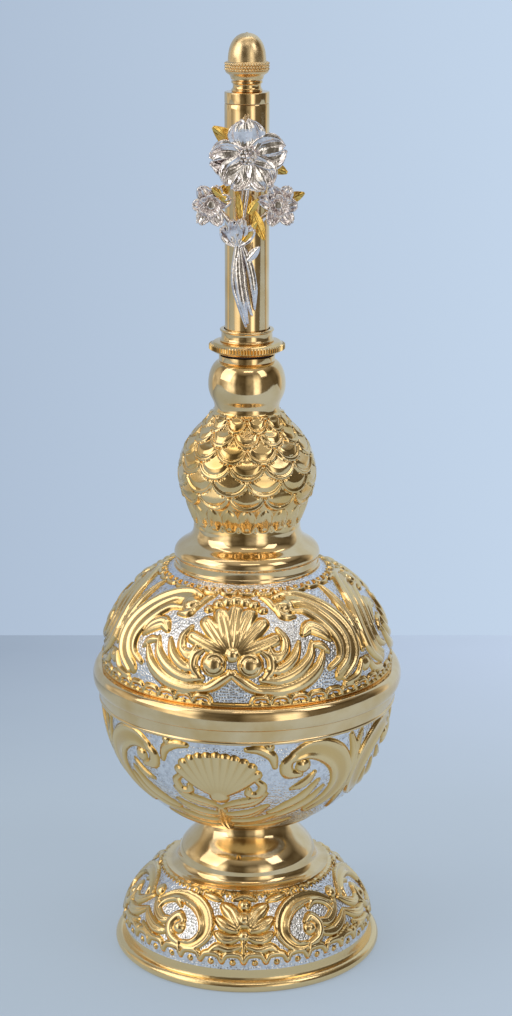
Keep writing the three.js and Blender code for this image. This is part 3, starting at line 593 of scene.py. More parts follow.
def node(tree: bpy.types.NodeTree, kind: str, settings: dict | None = None, values: dict | None = None,
         links: dict | None = None, stops: Sequence[Point] = ()) -> bpy.types.Node:
    """Adds one node.

    Args:
        tree: the node tree.
        kind: the node's type name.
        settings: its properties.
        values: what its sockets hold, by socket name or number.
        links: output sockets that feed its own, by socket name or number.
        stops: (place, grey value) pairs, if it is a colour ramp.

    Returns:
        The node.
    """
    made = tree.nodes.new("ShaderNode" + kind)
    for key, value in (settings or {}).items():
        setattr(made, key, value)
    for key, value in (values or {}).items():
        made.inputs[key].default_value = value
    for key, source in (links or {}).items():
        tree.links.new(source, made.inputs[key])
    for i, (place, value) in enumerate(stops):
        points = made.color_ramp.elements
        while len(points) < len(stops):
            points.new(0.5)
        points[i].position = place
        points[i].color = (value, value, value, 1.0)
    return made


@dataclass(frozen=True)
class Finish:
    """A surface finish; each kind fills in its own nodes."""

    title: str = "metal"

    def start(self) -> tuple[Material, bpy.types.NodeTree, Socket]:
        """An empty node material, its tree, and Object coordinates in mm."""
        material = bpy.data.materials.new(self.title)
        material.use_nodes = True
        tree = material.node_tree
        tree.nodes.clear()
        place = node(tree, "TexCoord")
        scaled = node(tree, "Mapping", values={"Scale": (1 / MM, 1 / MM, 1 / MM)},
                      links={"Vector": place.outputs["Object"]})
        return material, tree, scaled.outputs[0]

    def finish(self, tree: bpy.types.NodeTree, shader: bpy.types.Node) -> None:
        """Links a shader to the output."""
        out = node(tree, "OutputMaterial")
        tree.links.new(shader.outputs[0], out.inputs["Surface"])

    def material(self) -> Material:
        """Builds the material."""
        raise NotImplementedError


@dataclass(frozen=True)
class PolishedGilt(Finish):
    """Gold-plated brass, buffed: a mirror that is a little wavy and faintly hazed."""

    title: str = "polished_gilt_brass"
    colour: str = "#F8DAA9"
    haze: str = "#EDC88C"
    roughness: float = 0.07
    wave: float = 0.10  # how uneven the buffed sheet is
    turning: float = 0.0  # strength of the lathe's fine rings

    def material(self) -> Material:
        """Buffed plate: colour drifts a little over 9 mm, haze over 2.5 mm, waves over 5 mm."""
        material, tree, place = self.start()
        drift = node(tree, "TexNoise", values={"Scale": 1 / 9.0, "Detail": 3.0}, links={"Vector": place})
        colour = node(tree, "Mix", {"data_type": "RGBA"}, {6: linear(self.colour), 7: linear(self.haze)},
                      {0: node(tree, "ValToRGB", links={0: drift.outputs["Fac"]},
                               stops=((0.4, 0.0), (0.7, 1.0))).outputs[0]})
        haze = node(tree, "TexNoise", values={"Scale": 1 / 2.5, "Detail": 5.0, "Roughness": 0.6},
                    links={"Vector": place})
        rough = node(tree, "MapRange", values={1: 0.35, 2: 0.75, 3: self.roughness, 4: self.roughness * 2.1},
                     links={0: haze.outputs["Fac"]})
        waves = node(tree, "TexNoise", values={"Scale": 1 / 5.0, "Detail": 1.0}, links={"Vector": place})
        bump = node(tree, "Bump", values={"Strength": self.wave, "Distance": 0.00025},
                    links={"Height": waves.outputs["Fac"]})
        if self.turning:
            flat = node(tree, "Mapping", values={"Scale": (0.02, 0.02, 1.0)}, links={"Vector": place})
            rings = node(tree, "TexNoise", values={"Scale": 1 / 0.35, "Detail": 2.0},
                         links={"Vector": flat.outputs[0]})
            bump = node(tree, "Bump", values={"Strength": self.turning, "Distance": 0.00002},
                        links={"Height": rings.outputs["Fac"], "Normal": bump.outputs[0]})
        shader = node(tree, "BsdfPrincipled", values={"Metallic": 1.0}, links={
            "Base Color": colour.outputs[2], "Roughness": rough.outputs[0], "Normal": bump.outputs[0]})
        self.finish(tree, shader)
        return material


@dataclass(frozen=True)
class EmbossedGilt(Finish):
    """Embossed brass: buffed gold on the ornament, matted silver on the ground between."""

    title: str = "embossed_gilt_and_silvered_brass"
    gold: str = "#F9D9A0"
    # painted shade: the deeper yellow that low places of the gold get
    deep: str = "#DEB060"
    silver: str = "#F4F3F4"
    dull: str = "#D3D2D6"
    gold_roughness: float = 0.13
    silver_roughness: float = 0.22
    matting: float = 0.8  # mm between the punch marks; drawn coarser than real so that it shows

    def material(self) -> Material:
        """Reads where the gilding and the relief lie; the hollows of the gold get a deeper yellow as painted
        shade.
        """
        material, tree, place = self.start()
        gild = node(tree, "Attribute", {"attribute_name": "gilding"})
        lift = node(tree, "Attribute", {"attribute_name": "relief"})
        # The gilding ends in a ragged edge, uneven over 0.7 mm
        ragged = node(tree, "TexNoise", values={"Scale": 1 / 0.7, "Detail": 3.0}, links={"Vector": place})
        shifted = node(tree, "Math", {"operation": "MULTIPLY_ADD"}, {1: 0.7, 2: -0.35},
                       {0: ragged.outputs["Fac"]})
        mask = node(tree, "Math", {"operation": "ADD"}, links={0: gild.outputs["Fac"], 1: shifted.outputs[0]})
        cover = node(tree, "ValToRGB", links={0: mask.outputs[0]}, stops=((0.4, 0.0), (0.6, 1.0))).outputs[0]
        # Painted shade: where the relief is low the gold turns to the deeper yellow
        high = node(tree, "ValToRGB", links={0: lift.outputs["Fac"]},
                    stops=((0.1, 0.0), (0.75, 1.0))).outputs[0]
        gold = node(tree, "Mix", {"data_type": "RGBA"}, {6: linear(self.deep), 7: linear(self.gold)},
                    {0: high})
        # The silver dulls in patches of 1.6 mm, which are rougher too
        dull = node(tree, "TexNoise", values={"Scale": 1 / 1.6, "Detail": 4.0}, links={"Vector": place})
        silver = node(tree, "Mix", {"data_type": "RGBA"}, {6: linear(self.silver), 7: linear(self.dull)},
                      {0: node(tree, "ValToRGB", links={0: dull.outputs["Fac"]},
                               stops=((0.45, 0.0), (0.7, 1.0))).outputs[0]})
        colour = node(tree, "Mix", {"data_type": "RGBA"},
                      links={0: cover, 6: silver.outputs[2], 7: gold.outputs[2]})
        rough = node(tree, "MapRange", values={3: self.silver_roughness, 4: self.gold_roughness},
                     links={0: cover})
        worn = node(tree, "Math", {"operation": "MULTIPLY_ADD"}, {1: 0.08},
                    {0: dull.outputs["Fac"], 2: rough.outputs[0]})
        marks = node(tree, "TexVoronoi", {"feature": "F1"}, {"Scale": 1 / self.matting, "Randomness": 0.75},
                     {"Vector": place})
        ground = node(tree, "MapRange", values={3: 1.0, 4: 0.0}, links={0: cover})
        punched = node(tree, "Bump", values={"Distance": 0.00022},
                       links={"Height": marks.outputs["Distance"], "Strength": ground.outputs[0]})
        waves = node(tree, "TexNoise", values={"Scale": 1 / 1.8, "Detail": 2.0}, links={"Vector": place})
        bump = node(tree, "Bump", values={"Strength": 0.25, "Distance": 0.00018},
                    links={"Height": waves.outputs["Fac"], "Normal": punched.outputs[0]})
        shader = node(tree, "BsdfPrincipled", values={"Metallic": 1.0}, links={
            "Base Color": colour.outputs[2], "Roughness": worn.outputs[0], "Normal": bump.outputs[0]})
        self.finish(tree, shader)
        return material


@dataclass(frozen=True)
class PlatedCast(Finish):
    """Cast brass, plated and buffed, with darker patches at random."""

    title: str = "silvered_cast_brass"
    colour: str = "#FDF7F6"
    folds: str = "#CBC3C5"
    patch: float = 2.2  # mm between the darker patches
    patch_detail: float = 3.0
    darkest: float = 0.72  # noise at which a patch has the colour of the folds
    roughness: float = 0.08
    roughest: float = 0.16
    grain: float = 0.8  # mm between the grains left by the mould
    skin: float = 0.42  # how much the grains show
    depth: float = 0.0003  # metres

    def material(self) -> Material:
        """A cast skin: grains left by the mould, softened by buffing, and darker patches."""
        material, tree, place = self.start()
        grains = node(tree, "TexNoise", values={"Scale": 1 / self.grain, "Detail": 3.0},
                      links={"Vector": place})
        tone = node(tree, "TexNoise", values={"Scale": 1 / self.patch, "Detail": self.patch_detail},
                    links={"Vector": place})
        dark = node(tree, "ValToRGB",
                    links={0: tone.outputs["Fac"]}, stops=((0.45, 0.0), (self.darkest, 1.0)))
        colour = node(tree, "Mix", {"data_type": "RGBA"}, {6: linear(self.colour), 7: linear(self.folds)},
                      {0: dark.outputs[0]})
        rough = node(tree, "MapRange", values={1: 0.3, 2: 0.7, 3: self.roughness, 4: self.roughest},
                     links={0: grains.outputs["Fac"]})
        bump = node(tree, "Bump", values={"Strength": self.skin, "Distance": self.depth},
                    links={"Height": grains.outputs["Fac"]})
        shader = node(tree, "BsdfPrincipled", values={"Metallic": 1.0}, links={
            "Base Color": colour.outputs[2], "Roughness": rough.outputs[0], "Normal": bump.outputs[0]})
        self.finish(tree, shader)
        return material


@dataclass(frozen=True)
class BareBrass(Finish):
    """Turned brass bar, neither plated nor buffed: dull yellow with tool rings."""

    title: str = "bare_turned_brass"
    colour: str = "#D0A95C"
    tarnish: str = "#9A7338"
    roughness: float = 0.32

    def material(self) -> Material:
        """Tool rings 0.3 mm apart round the axis, and tarnish in patches of about 3 mm."""
        material, tree, place = self.start()
        patch = node(tree, "TexNoise", values={"Scale": 1 / 3.0, "Detail": 5.0}, links={"Vector": place})
        colour = node(tree, "Mix", {"data_type": "RGBA"}, {6: linear(self.colour), 7: linear(self.tarnish)},
                      {0: node(tree, "ValToRGB", links={0: patch.outputs["Fac"]},
                               stops=((0.42, 0.0), (0.68, 1.0))).outputs[0]})
        rings = node(tree, "TexWave", {"wave_type": "RINGS", "rings_direction": "Z"},
                     {"Scale": 0.314 / 0.3, "Distortion": 0.4}, {"Vector": place})
        bump = node(tree, "Bump", values={"Strength": 0.3, "Distance": 0.00003},
                    links={"Height": rings.outputs["Fac"]})
        rough = node(tree, "MapRange", values={3: self.roughness, 4: self.roughness * 1.5},
                     links={0: patch.outputs["Fac"]})
        shader = node(tree, "BsdfPrincipled", values={"Metallic": 1.0}, links={
            "Base Color": colour.outputs[2], "Roughness": rough.outputs[0], "Normal": bump.outputs[0]})
        self.finish(tree, shader)
        return material


@dataclass(frozen=True)
class Sealing(Finish):
    """Vulcanised fibre washer: dark red-brown, matt, with a fine pressed grain."""

    title: str = "vulcanised_fibre"
    colour: str = "#4A3027"
    grain: str = "#33211B"

    def material(self) -> Material:
        """Pressed fibre with a grain of about 0.4 mm."""
        material, tree, place = self.start()
        grain = node(tree, "TexNoise", values={"Scale": 1 / 0.4, "Detail": 4.0}, links={"Vector": place})
        colour = node(tree, "Mix", {"data_type": "RGBA"}, {6: linear(self.colour), 7: linear(self.grain)},
                      {0: grain.outputs["Fac"]})
        bump = node(tree, "Bump", values={"Strength": 0.4, "Distance": 0.00005},
                    links={"Height": grain.outputs["Fac"]})
        shader = node(tree, "BsdfPrincipled", values={"Roughness": 0.72},
                      links={"Base Color": colour.outputs[2], "Normal": bump.outputs[0]})
        self.finish(tree, shader)
        return material


@dataclass(frozen=True)
class FloorPaper(Finish):
    """The studio's pale blue paper, of which a part is seen in its plain colour, whatever the light."""

    title: str = "floor_paper"
    # Painted light and shade: the paper is darker on the left, paler on the right and evener near the camera
    left: str = "#8F9EAF"
    right: str = "#C9D9EF"
    near: str = "#BAC9D6"  # its colour towards the camera
    near_share: float = 0.7
    seen: float = 0.45  # how much of what the camera and the metal see is the plain colour

    def material(self) -> Material:
        """Paler to the right, as in the photograph, and evener towards the camera."""
        material, tree, place = self.start()
        along = node(tree, "SeparateXYZ", links={0: place})
        # Painted light and shade: darker to the left, paler to the right, evening out towards the camera
        across = node(tree, "MapRange", values={1: -190.0, 2: 130.0}, links={0: along.outputs["X"]})
        fibre = node(tree, "TexNoise", values={"Scale": 1 / 60.0, "Detail": 2.0}, links={"Vector": place})
        drift = node(tree, "Math", {"operation": "MULTIPLY_ADD"}, {1: 0.1}, {0: fibre.outputs["Fac"],
                                                                           2: across.outputs[0]})
        far = node(tree, "Mix", {"data_type": "RGBA"}, {6: linear(self.left), 7: linear(self.right)},
                   {0: drift.outputs[0]})
        closer = node(tree, "MapRange", values={1: 280.0, 2: 110.0, 4: self.near_share},
                      links={0: along.outputs["Y"]})
        colour = node(tree, "Mix", {"data_type": "RGBA"}, {7: linear(self.near)},
                      {0: closer.outputs[0], 6: far.outputs[2]})
        matt = node(tree, "BsdfDiffuse", links={"Color": colour.outputs[2]})
        glow = node(tree, "Emission", values={"Strength": 1.0}, links={"Color": colour.outputs[2]})
        ray = node(tree, "LightPath")
        seen = node(tree, "Math", {"operation": "MAXIMUM"}, links={
            0: ray.outputs["Is Camera Ray"], 1: ray.outputs["Is Glossy Ray"]})
        all_seen = node(tree, "Math", {"operation": "MAXIMUM"}, links={
            0: seen.outputs[0], 1: ray.outputs["Is Transmission Ray"]})
        share = node(tree, "Math", {"operation": "MULTIPLY"}, {1: self.seen}, {0: all_seen.outputs[0]})
        shader = node(tree, "MixShader", links={0: share.outputs[0], 1: matt.outputs[0], 2: glow.outputs[0]})
        self.finish(tree, shader)
        return material


class Metals:
    """The finishes of the flask, each made once and shared by its pieces."""

    def __init__(self) -> None:
        """Builds every material."""
        self.gilt = PolishedGilt().material()
        self.turned_gilt = PolishedGilt(title="polished_gilt_turned_brass", turning=0.15,
                                        wave=0.05).material()
        self.chased_gilt = PolishedGilt(title="polished_gilt_chased_brass", colour="#F8D8A0", haze="#EBC27A",
                                        roughness=0.09, wave=0.3).material()
        self.satin_gilt = PolishedGilt(title="satin_gilt_cast_brass", roughness=0.2, wave=0.3).material()
        self.embossed = EmbossedGilt().material()
        self.silvered = PlatedCast().material()
        self.gilt_cast = PlatedCast(title="gilt_cast_brass", colour="#F6CF74", folds="#D9A03C", patch=2.0,
                                    patch_detail=2.0, darkest=0.75, roughness=0.16, roughest=0.304, grain=0.9,
                                    skin=0.25, depth=0.00018).material()
        self.bare_brass = BareBrass().material()
        self.sealing = Sealing().material()


def dress(piece: Piece, material: Material, slot: str, body: str, *nodes: str) -> None:
    """Gives a finished piece its material, its body and the CAD nodes it stands for.

    Args:
        piece: the piece.
        material: its material.
        slot: the record's material slot; not used.
        body: the body it rides on.
        nodes: CAD nodes that it replaces.
    """
    piece.data.materials.clear()
    piece.data.materials.append(material)
    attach(piece, body)
    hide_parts(*nodes)
    triangles = sum(len(p.vertices) - 2 for p in piece.data.polygons)
    log.info("%-22s %7d triangles, %s, on %s", piece.name, triangles, material.name, body)


def refinish(name: str, material: Material) -> None:
    """Gives a CAD node that stays as the frame has it the material of what it is.

    Args:
        name: the node's name.
        material: its material.
    """
    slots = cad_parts[name].data.materials
    slots.clear()
    slots.append(material)
    log.info("%-22s kept from the frame, %s", name, material.name)


# Foot and stem


def embossed(name: str, outline: list[Point], facets: int, zone: Zone, metals: Metals, node: str) -> None:
    """Turns, embosses and dresses a shell of the vessel.

    Args:
        name: its name.
        outline: (radius, height) points.
        facets: number of steps round.
        zone: the zone that carries its ornament.
        metals: the finishes.
        node: the CAD node that it replaces.
    """
    shell = turn(name, outline, facets, smooth=180.0)
    emboss(shell, zone)
    dress(shell, metals.embossed, "embossed", "vessel", node)


@dataclass
class Foot:
    """The spun and embossed foot with its rolled rim, and the fixing under it."""

    rim_radius: float = 41.1
    bead_radius: float = 1.7
    ledge_radius: float = 38.3
    ledge_height: float = 6.2
    shell_radius: float = 38.6
    shell_base: float = 9.0
    shell_rise: float = 28.5
    shell_power: float = 1.5
    top_radius: float = 26.0
    hole_radius: float = 3.4
    wall: float = 1.0
    sink: float = 0.3  # how far the ground lies below the plain outline
    facets: int = 720
    row: float = 0.36  # spacing of the rows that carry the ornament

    def profile(self, steps: int) -> list[Point]:
        """The plain outline of the swelling part, from its foot to the top plate."""
        return swell(self.shell_radius, self.shell_rise, self.shell_power, self.top_radius, self.shell_base,
                     steps)

    def zone(self) -> Zone:
        """The embossed zone, from the ledge to the top plate."""
        line = even([(self.ledge_radius, self.ledge_height), *self.profile(60)], self.row)
        return Zone(sunk(line, self.sink, 4.0), self.motif(), 3, -1.5)

    def motif(self) -> list[Stroke]:
        """Two facing scrolls with a flower between them, over a scalloped border."""
        half = [
            Stroke(((33, 6), (25, 6.4), (19.6, 10.4), (21.4, 15.4), (28, 18.8), (38, 20), (47, 19.2),
                    (55, 16)), (0.9, 2.5, 0.9), 1.4, Tool.TROUGH),
            Stroke(((32, 6), (37.6, 7.6), (40, 11), (37, 14), (33, 12.8)), (0.9, 1.6, 0.8), 1.35),
            ball(34.4, 10.6, 2.1, 1.6),
            Stroke(((38, 16.8), (43.5, 18.2), (50, 16.4), (52.4, 13)), (0.5, 0.9, 0.5), 1.2),
            Stroke(((40, 12.2), (46, 11), (52, 12.6), (58, 15.6)), (0.8, 1.5, 0.6), 1.25, Tool.LEAF),
            Stroke(((40.5, 8.4), (47, 7.6), (54, 9), (60, 11.4)), (0.8, 1.6, 0.7), 1.2, Tool.LEAF),
            Stroke(((43, 4.9), (50, 5.2), (58, 7)), (0.5, 1.0, 0.5), 1.0, Tool.LEAF),
            Stroke(((3.2, 13.6), (7, 17.4), (12, 19.4)), (1.2, 2.3, 1.2), 1.4, Tool.LEAF),
            Stroke(((4, 12.2), (9.6, 13.6), (14.4, 15.2)), (1.0, 1.9, 1.0), 1.25, Tool.LEAF),
            Stroke(((3, 10), (8.6, 9.4), (13.4, 10.8)), (0.8, 1.6, 0.9), 1.15, Tool.LEAF),
            Stroke(((1.6, 7.4), (7, 6.4), (12.4, 7), (16.4, 5.4)), (0.6, 1.3, 0.6), 1.0),
            Stroke(((14.6, 21.4), (20, 22), (26, 22.4)), (0.6, 1.1, 0.6), 1.0),
            ball(30.6, 22.5, 0.9, 0.9),
            ball(60, 18.2, 2.0, 1.3),
            ball(60, 4.8, 1.3, 1.0),
        ]
        strokes = mirror_all(half)
        strokes += [ball(0, 15.6, 2.7, 1.7), ball(0, 20.2, 1.7, 1.35), ball(0, 10.6, 1.7, 1.3),
                    Stroke(((0, 4.4), (0, 8.6)), (0.5, 1.3, 0.7), 1.15, Tool.LEAF),
                    hoop(0, 15.6, 1.5, 36.0, 0.28, 0.4, tool=Tool.CUT),
                    Stroke(((-7, 21.8), (0, 22.9), (7, 21.8)), (0.5, 1.1, 0.5), 1.1)]
        strokes += border(2.4, 4.8, 10.0, 0.95)
        strokes += border(22.9, 23.7, 7.5, 0.6)
        return strokes

    def build(self, metals: Metals) -> None:
        """Turns and embosses the foot, and dresses the stud, washer and nut under it."""
        _, top = level("foot_shell")
        zone = self.zone()
        centre = self.rim_radius - self.bead_radius
        b = self.bead_radius
        rim = bead(centre, b, b, b, -66.4, 118.0, 26)
        cove = bent(rim[-1], (centre - 1.15, 3.7), (self.ledge_radius - 0.1, 4.6), zone.line[0], 8)[1:-1]
        inner = offset(self.profile(9), self.wall)
        inner[-1] = (self.top_radius - self.wall, top - self.wall)
        inside = [(centre - 2.0, 1.4), (self.ledge_radius - self.wall, self.ledge_height - self.wall)]
        outline = [(centre - 0.4 * b, 0.0), (centre + 0.4 * b, 0.0), *rim, *cove, *zone.line,
                   (self.hole_radius, top), (self.hole_radius, top - self.wall), *inner[::-1], *inside[::-1]]
        embossed("foot_embossed_shell", outline, self.facets, zone, metals, "foot_shell")
        for name in ("foot_stud", "foot_washer", "foot_nut"):
            refinish(name, metals.bare_brass)


def border(low: float, high: float, pitch: float, height: float) -> list[Stroke]:
    """A row of small scallops round one motif.

    Args:
        low: arc length at the foot of each scallop.
        high: arc length at its crown.
        pitch: degrees from one to the next.
        height: height of the line.

    Returns:
        Strokes that fill 120 degrees.
    """
    made = []
    for i in range(round(120 / pitch)):
        a = -60.0 + pitch * i
        wide = 0.36 * abs(high - low)
        made.append(Stroke(((a, low), (a + 0.2 * pitch, high), (a + 0.8 * pitch, high), (a + pitch, low)),
                           (0.6 * wide, wide, 0.6 * wide), height))
        made.append(ball(a + 0.5 * pitch, low, 0.8 * wide, 0.9 * height))
    return made


@dataclass
class Stem:
    """The plain spun stem between foot and bowl."""

    lip_radius: float = 25.2
    lip_height: float = 0.7
    base_radius: float = 21.0
    base_height: float = 4.2
    top_radius: float = 13.8
    wall: float = 1.0
    facets: int = 192

    def build(self, metals: Metals) -> None:
        """Turns the stem: a flat lip, a flared foot and a drawn-in cone."""
        low, high = level("stem_cone")
        shoulder = low + self.base_height
        flare = 0.24 * (self.lip_radius - self.base_radius)
        rise = high - shoulder
        outer = bent((self.lip_radius - flare, low + self.lip_height),
                     (self.base_radius + flare, low + self.lip_height),
                     (self.base_radius, shoulder - 0.5 * self.base_height), (self.base_radius, shoulder), 14)
        outer += bent((self.base_radius, shoulder), (0.97 * self.base_radius, shoulder + 0.4 * rise),
                      (self.top_radius + 0.03 * self.base_radius, high - 0.4 * rise),
                      (self.top_radius, high), 24)[1:]
        inner = [(r - self.wall, z) for r, z in outer[10:]]
        lip = eased([(self.lip_radius, low), (self.lip_radius, low + self.lip_height)], 0.2, False)
        outline = [*lip, *outer, *inner[::-1], (self.base_radius - self.wall, low)]
        stem = turn("stem_polished_cone", outline, self.facets)
        dress(stem, metals.gilt, "gilt", "vessel", "stem_cone")


# Round body


@dataclass
class Body:
    """The round body: embossed bowl, plain band and ring, embossed dome."""

    radius: float = 43.9
    depth: float = 41.3
    bowl_power: float = 2.0
    stem_radius: float = 13.8
    stud_radius: float = 3.3
    wall: float = 1.0
    band_gap: float = 0.3
    band_wall: float = 1.0
    ring_proud: float = 1.7
    dome_rise: float = 33.6
    dome_power: float = 2.32
    collar_radius: float = 21.9
    sink: float = 0.3  # how far the ground lies below the plain outline
    bowl_facets: int = 696
    dome_facets: int = 720
    row: float = 0.36  # spacing of the rows that carry the ornament
    plain_rows: int = 30  # rows under the bowl that carry none
    band_facets: int = 256
    ring_facets: int = 288

    def lower(self, wall: float, steps: int) -> list[Point]:
        """Outline of the bowl from its lip down to the stem, a wall inside its skin."""
        return swell(self.radius - wall, self.depth - wall, self.bowl_power, self.stem_radius,
                     level("lip_band")[0], steps, down=True)

    def upper(self, wall: float, steps: int) -> list[Point]:
        """Outline of the dome from the ring up to the collar, a wall inside its skin."""
        return swell(self.radius - wall, self.dome_rise - wall, self.dome_power, self.collar_radius,
                     level("upper_dome")[0], steps)

    def bowl_zone(self) -> Zone:
        """The embossed part of the bowl, from its underside to the band."""
        line = even(self.lower(0.0, 200)[::-1], self.row)[self.plain_rows:]
        return Zone(sunk(line, self.sink, 4.0, False), self.bowl_motif(), 3, -12.0)

    def bowl_motif(self) -> list[Stroke]:
        """A ribbed shell between broad scrolls. Arc lengths start 10.8 mm up from the stem."""
        base = 10.8
        root = 34.5
        ribs = [(15.6, 42.4), (13.6, 44.8), (10.5, 46.4), (7.1, 47.3), (3.6, 47.8)]
        half = [Stroke(((0.2 * a, root), (0.7 * a, 0.4 * root + 0.6 * s), (a, s)), (0.6, 1.5, 1.6), 1.0)
                for a, s in ribs]
        half += [
            Stroke(((16, 40.4), (18.4, 38), (17, 35), (13, 35), (12.6, 37)), (0.7, 1.3, 0.7), 1.1),
            Stroke(((2, 29), (8, 30.4), (15, 32), (19.6, 35)), (0.9, 2.2, 0.8), 1.15, Tool.LEAF),
            Stroke(((1, 24.4), (7, 24.2), (14, 25.6), (21, 29.4)), (0.8, 2.3, 0.8), 1.15, Tool.LEAF),
            Stroke(((1, 20.2), (8, 19.6), (17, 20.6), (27, 24.6)), (0.8, 2.4, 0.8), 1.1, Tool.LEAF),
            Stroke(((1, 15.6), (12, 15), (24, 16), (36, 19.6)), (0.7, 2.3, 0.7), 0.95, Tool.LEAF),
            Stroke(((31, 48), (37, 49.6), (44, 48.4), (51, 44.2), (54.6, 37.4), (52, 30.4), (43, 25)),
                   (1.8, 4.0, 1.6), 1.15, Tool.TROUGH),
            Stroke(((31, 48.4), (27.6, 45.6), (28.6, 42.4), (33.4, 41.6)), (1.0, 1.8, 1.0), 1.15),
            ball(34.4, 44.4, 2.2, 1.35),
            Stroke(((23, 25.6), (30, 28.6), (37, 32.4), (42.6, 38)), (0.8, 1.8, 0.7), 1.1),
            Stroke(((24, 22.4), (33, 25.6), (41, 29.8), (46, 35)), (0.7, 1.7, 0.6), 1.05),
            Stroke(((31, 36.4), (36, 38), (40, 41.4)), (0.6, 1.5, 0.6), 1.1, Tool.LEAF),
            Stroke(((57, 51), (60, 44), (60, 36), (60, 22)), (0.8, 2.0, 0.8), 1.1, Tool.LEAF),
            Stroke(((12, 51), (17, 50.8), (21.6, 48.6), (23, 45)), (0.7, 1.4, 0.6), 1.0),
            ball(20.6, 51.6, 1.2, 0.9),
        ]
        strokes = mirror_all(half)
        strokes += [Stroke(((0, root), (0, 42), (0, 48)), (0.6, 1.5, 1.6), 1.0), ball(0, 33.6, 2.8, 1.5),
                    Stroke(((0, 12), (0, 20), (0, 28)), (0.9, 2.2, 1.2), 1.2, Tool.LEAF)]
        return [replace(one, points=tuple((a, s - base) for a, s in one.points)) for one in strokes]

    def dome_zone(self) -> Zone:
        """The embossed dome, from the ring to the collar."""
        line = even(self.upper(0.0, 200), self.row)
        return Zone(sunk(line, self.sink, 4.0), self.dome_motif(), 3, -6.0)

    def dome_motif(self) -> list[Stroke]:
        """A palmette over two curls, with leaf fans and great scrolls at its sides."""
        half = [
            Stroke(((1.6, 17.2), (4.0, 23.0), (7.2, 28.2)), (0.9, 2.4, 2.2), 1.35, Tool.LEAF),
            Stroke(((2.6, 16.8), (8.0, 21.2), (13.0, 24.8)), (0.9, 2.2, 2.1), 1.25, Tool.LEAF),
            Stroke(((3.4, 16.0), (10.4, 17.8), (18.2, 19.8)), (0.8, 1.9, 1.9), 1.15, Tool.LEAF),
            Stroke(((20.0, 22.8), (22.6, 19.4), (21.4, 15.6), (17.2, 15.0), (15.6, 17.0)),
                   (0.6, 1.3, 0.8), 1.2),
            ball(4.9, 33.0, 1.9, 1.45), ball(10.0, 31.7, 1.6, 1.3), ball(14.4, 29.4, 1.3, 1.1),
            ball(7.4, 12.6, 3.6, 1.9), hoop(7.0, 12.6, 1.9, 43.6, 0.4, 0.55, 40.0, 290.0, 0.7, Tool.CUT),
            Stroke(((12.4, 16.4), (15.6, 14.6), (16.0, 11.2), (13.0, 8.6)), (0.6, 1.5, 0.9), 1.3),
            Stroke(((-1.0, 10.4), (3.5, 8.2), (8.0, 5.9), (13.0, 4.6)), (0.7, 1.5, 0.8), 1.4),
            Stroke(((10.0, 5.6), (18.0, 4.9), (27.0, 6.2), (34.5, 9.6), (38.6, 14.4)), (1.0, 2.1, 0.6), 1.4),
            Stroke(((12.0, 8.2), (19.0, 8.0), (26.5, 9.9), (32.0, 13.4), (34.4, 17.8)), (0.9, 1.8, 0.5), 1.3),
            Stroke(((14.0, 10.8), (19.5, 11.0), (25.0, 13.6), (28.4, 18.2)), (0.8, 1.6, 0.5), 1.2),
            Stroke(((17.0, 13.4), (20.5, 14.8), (23.0, 18.4)), (0.7, 1.2, 0.4), 1.1),
            ball(25.6, 30.4, 3.3, 1.8), hoop(25.6, 30.4, 1.9, 34.0, 0.4, 0.5, 200.0, 240.0, 0.6, Tool.CUT),
            Stroke(((31.0, 33.0), (38.0, 31.2), (45.0, 27.2), (50.8, 21.2), (52.6, 15.6), (50.4, 10.4),
                    (44.6, 6.8)), (2.2, 3.8, 1.6), 0.8, Tool.BODY),
            Stroke(((22.0, 34.0), (29.0, 35.2), (38.0, 34.2), (47.0, 30.2), (54.2, 23.2), (56.6, 16.2),
                    (54.4, 10.0), (47.0, 5.6)), (0.8, 1.7, 0.8), 1.5),
            Stroke(((31.0, 31.6), (38.0, 30.9), (44.8, 26.9), (50.2, 20.8), (51.8, 15.6), (49.4, 10.8),
                    (44.0, 7.8)), (0.6, 1.2, 0.6), 1.25),
            Stroke(((30.0, 28.4), (36.4, 27.6), (42.2, 23.6), (46.4, 18.8), (47.6, 15.2), (45.8, 11.6),
                    (40.4, 9.4)), (0.7, 1.4, 0.7), 1.3),
            Stroke(((22.0, 29.4), (24.4, 27.0), (29.6, 26.4)), (0.6, 1.3, 0.6), 1.35),
            Stroke(((31.4, 20.6), (35.6, 22.4), (40.4, 20.6), (43.4, 17.6)), (0.9, 2.3, 0.7), 1.35,
                   Tool.LEAF),
            Stroke(((34.6, 17.2), (38.4, 16.4), (41.0, 14.2)), (0.6, 1.1, 0.5), 1.15),
            Stroke(((60.0, 35.0), (60.0, 24.0), (60.0, 12.0)), (0.7, 1.9, 0.8), 1.25, Tool.LEAF),
            Stroke(((58.0, 9.0), (54.0, 5.0), (47.0, 4.0)), (0.6, 1.2, 0.6), 1.1),
            ball(60.0, 7.6, 2.1, 1.3),
            Stroke(((14.6, 34.6), (18.4, 33.0), (20.6, 29.6)), (0.5, 1.1, 0.4), 1.0),
        ]
        strokes = mirror_all(half)
        strokes += [Stroke(((0.0, 17.0), (0.0, 24.0), (0.0, 29.4)), (1.0, 2.4, 2.2), 1.45, Tool.LEAF),
                    ball(0.0, 33.6, 2.1, 1.55), ball(0.0, 15.6, 2.1, 1.5)]
        strokes += border(37.6, 35.8, 12.0, 1.0)
        low = [one for one in border(1.0, 3.0, 7.5, 0.9) if not -9.5 < one.points[0][0] < 7.0]
        low.append(Stroke(tuple((float(a), 0.5) for a in range(-60, 61, 12)), (0.7, 0.7, 0.7), 0.5))
        return strokes + low

    def build(self, metals: Metals) -> None:
        """Turns and embosses both halves, and turns the band and the ring."""
        self.build_bowl(metals)
        self.build_band(metals)
        self.build_dome(metals)

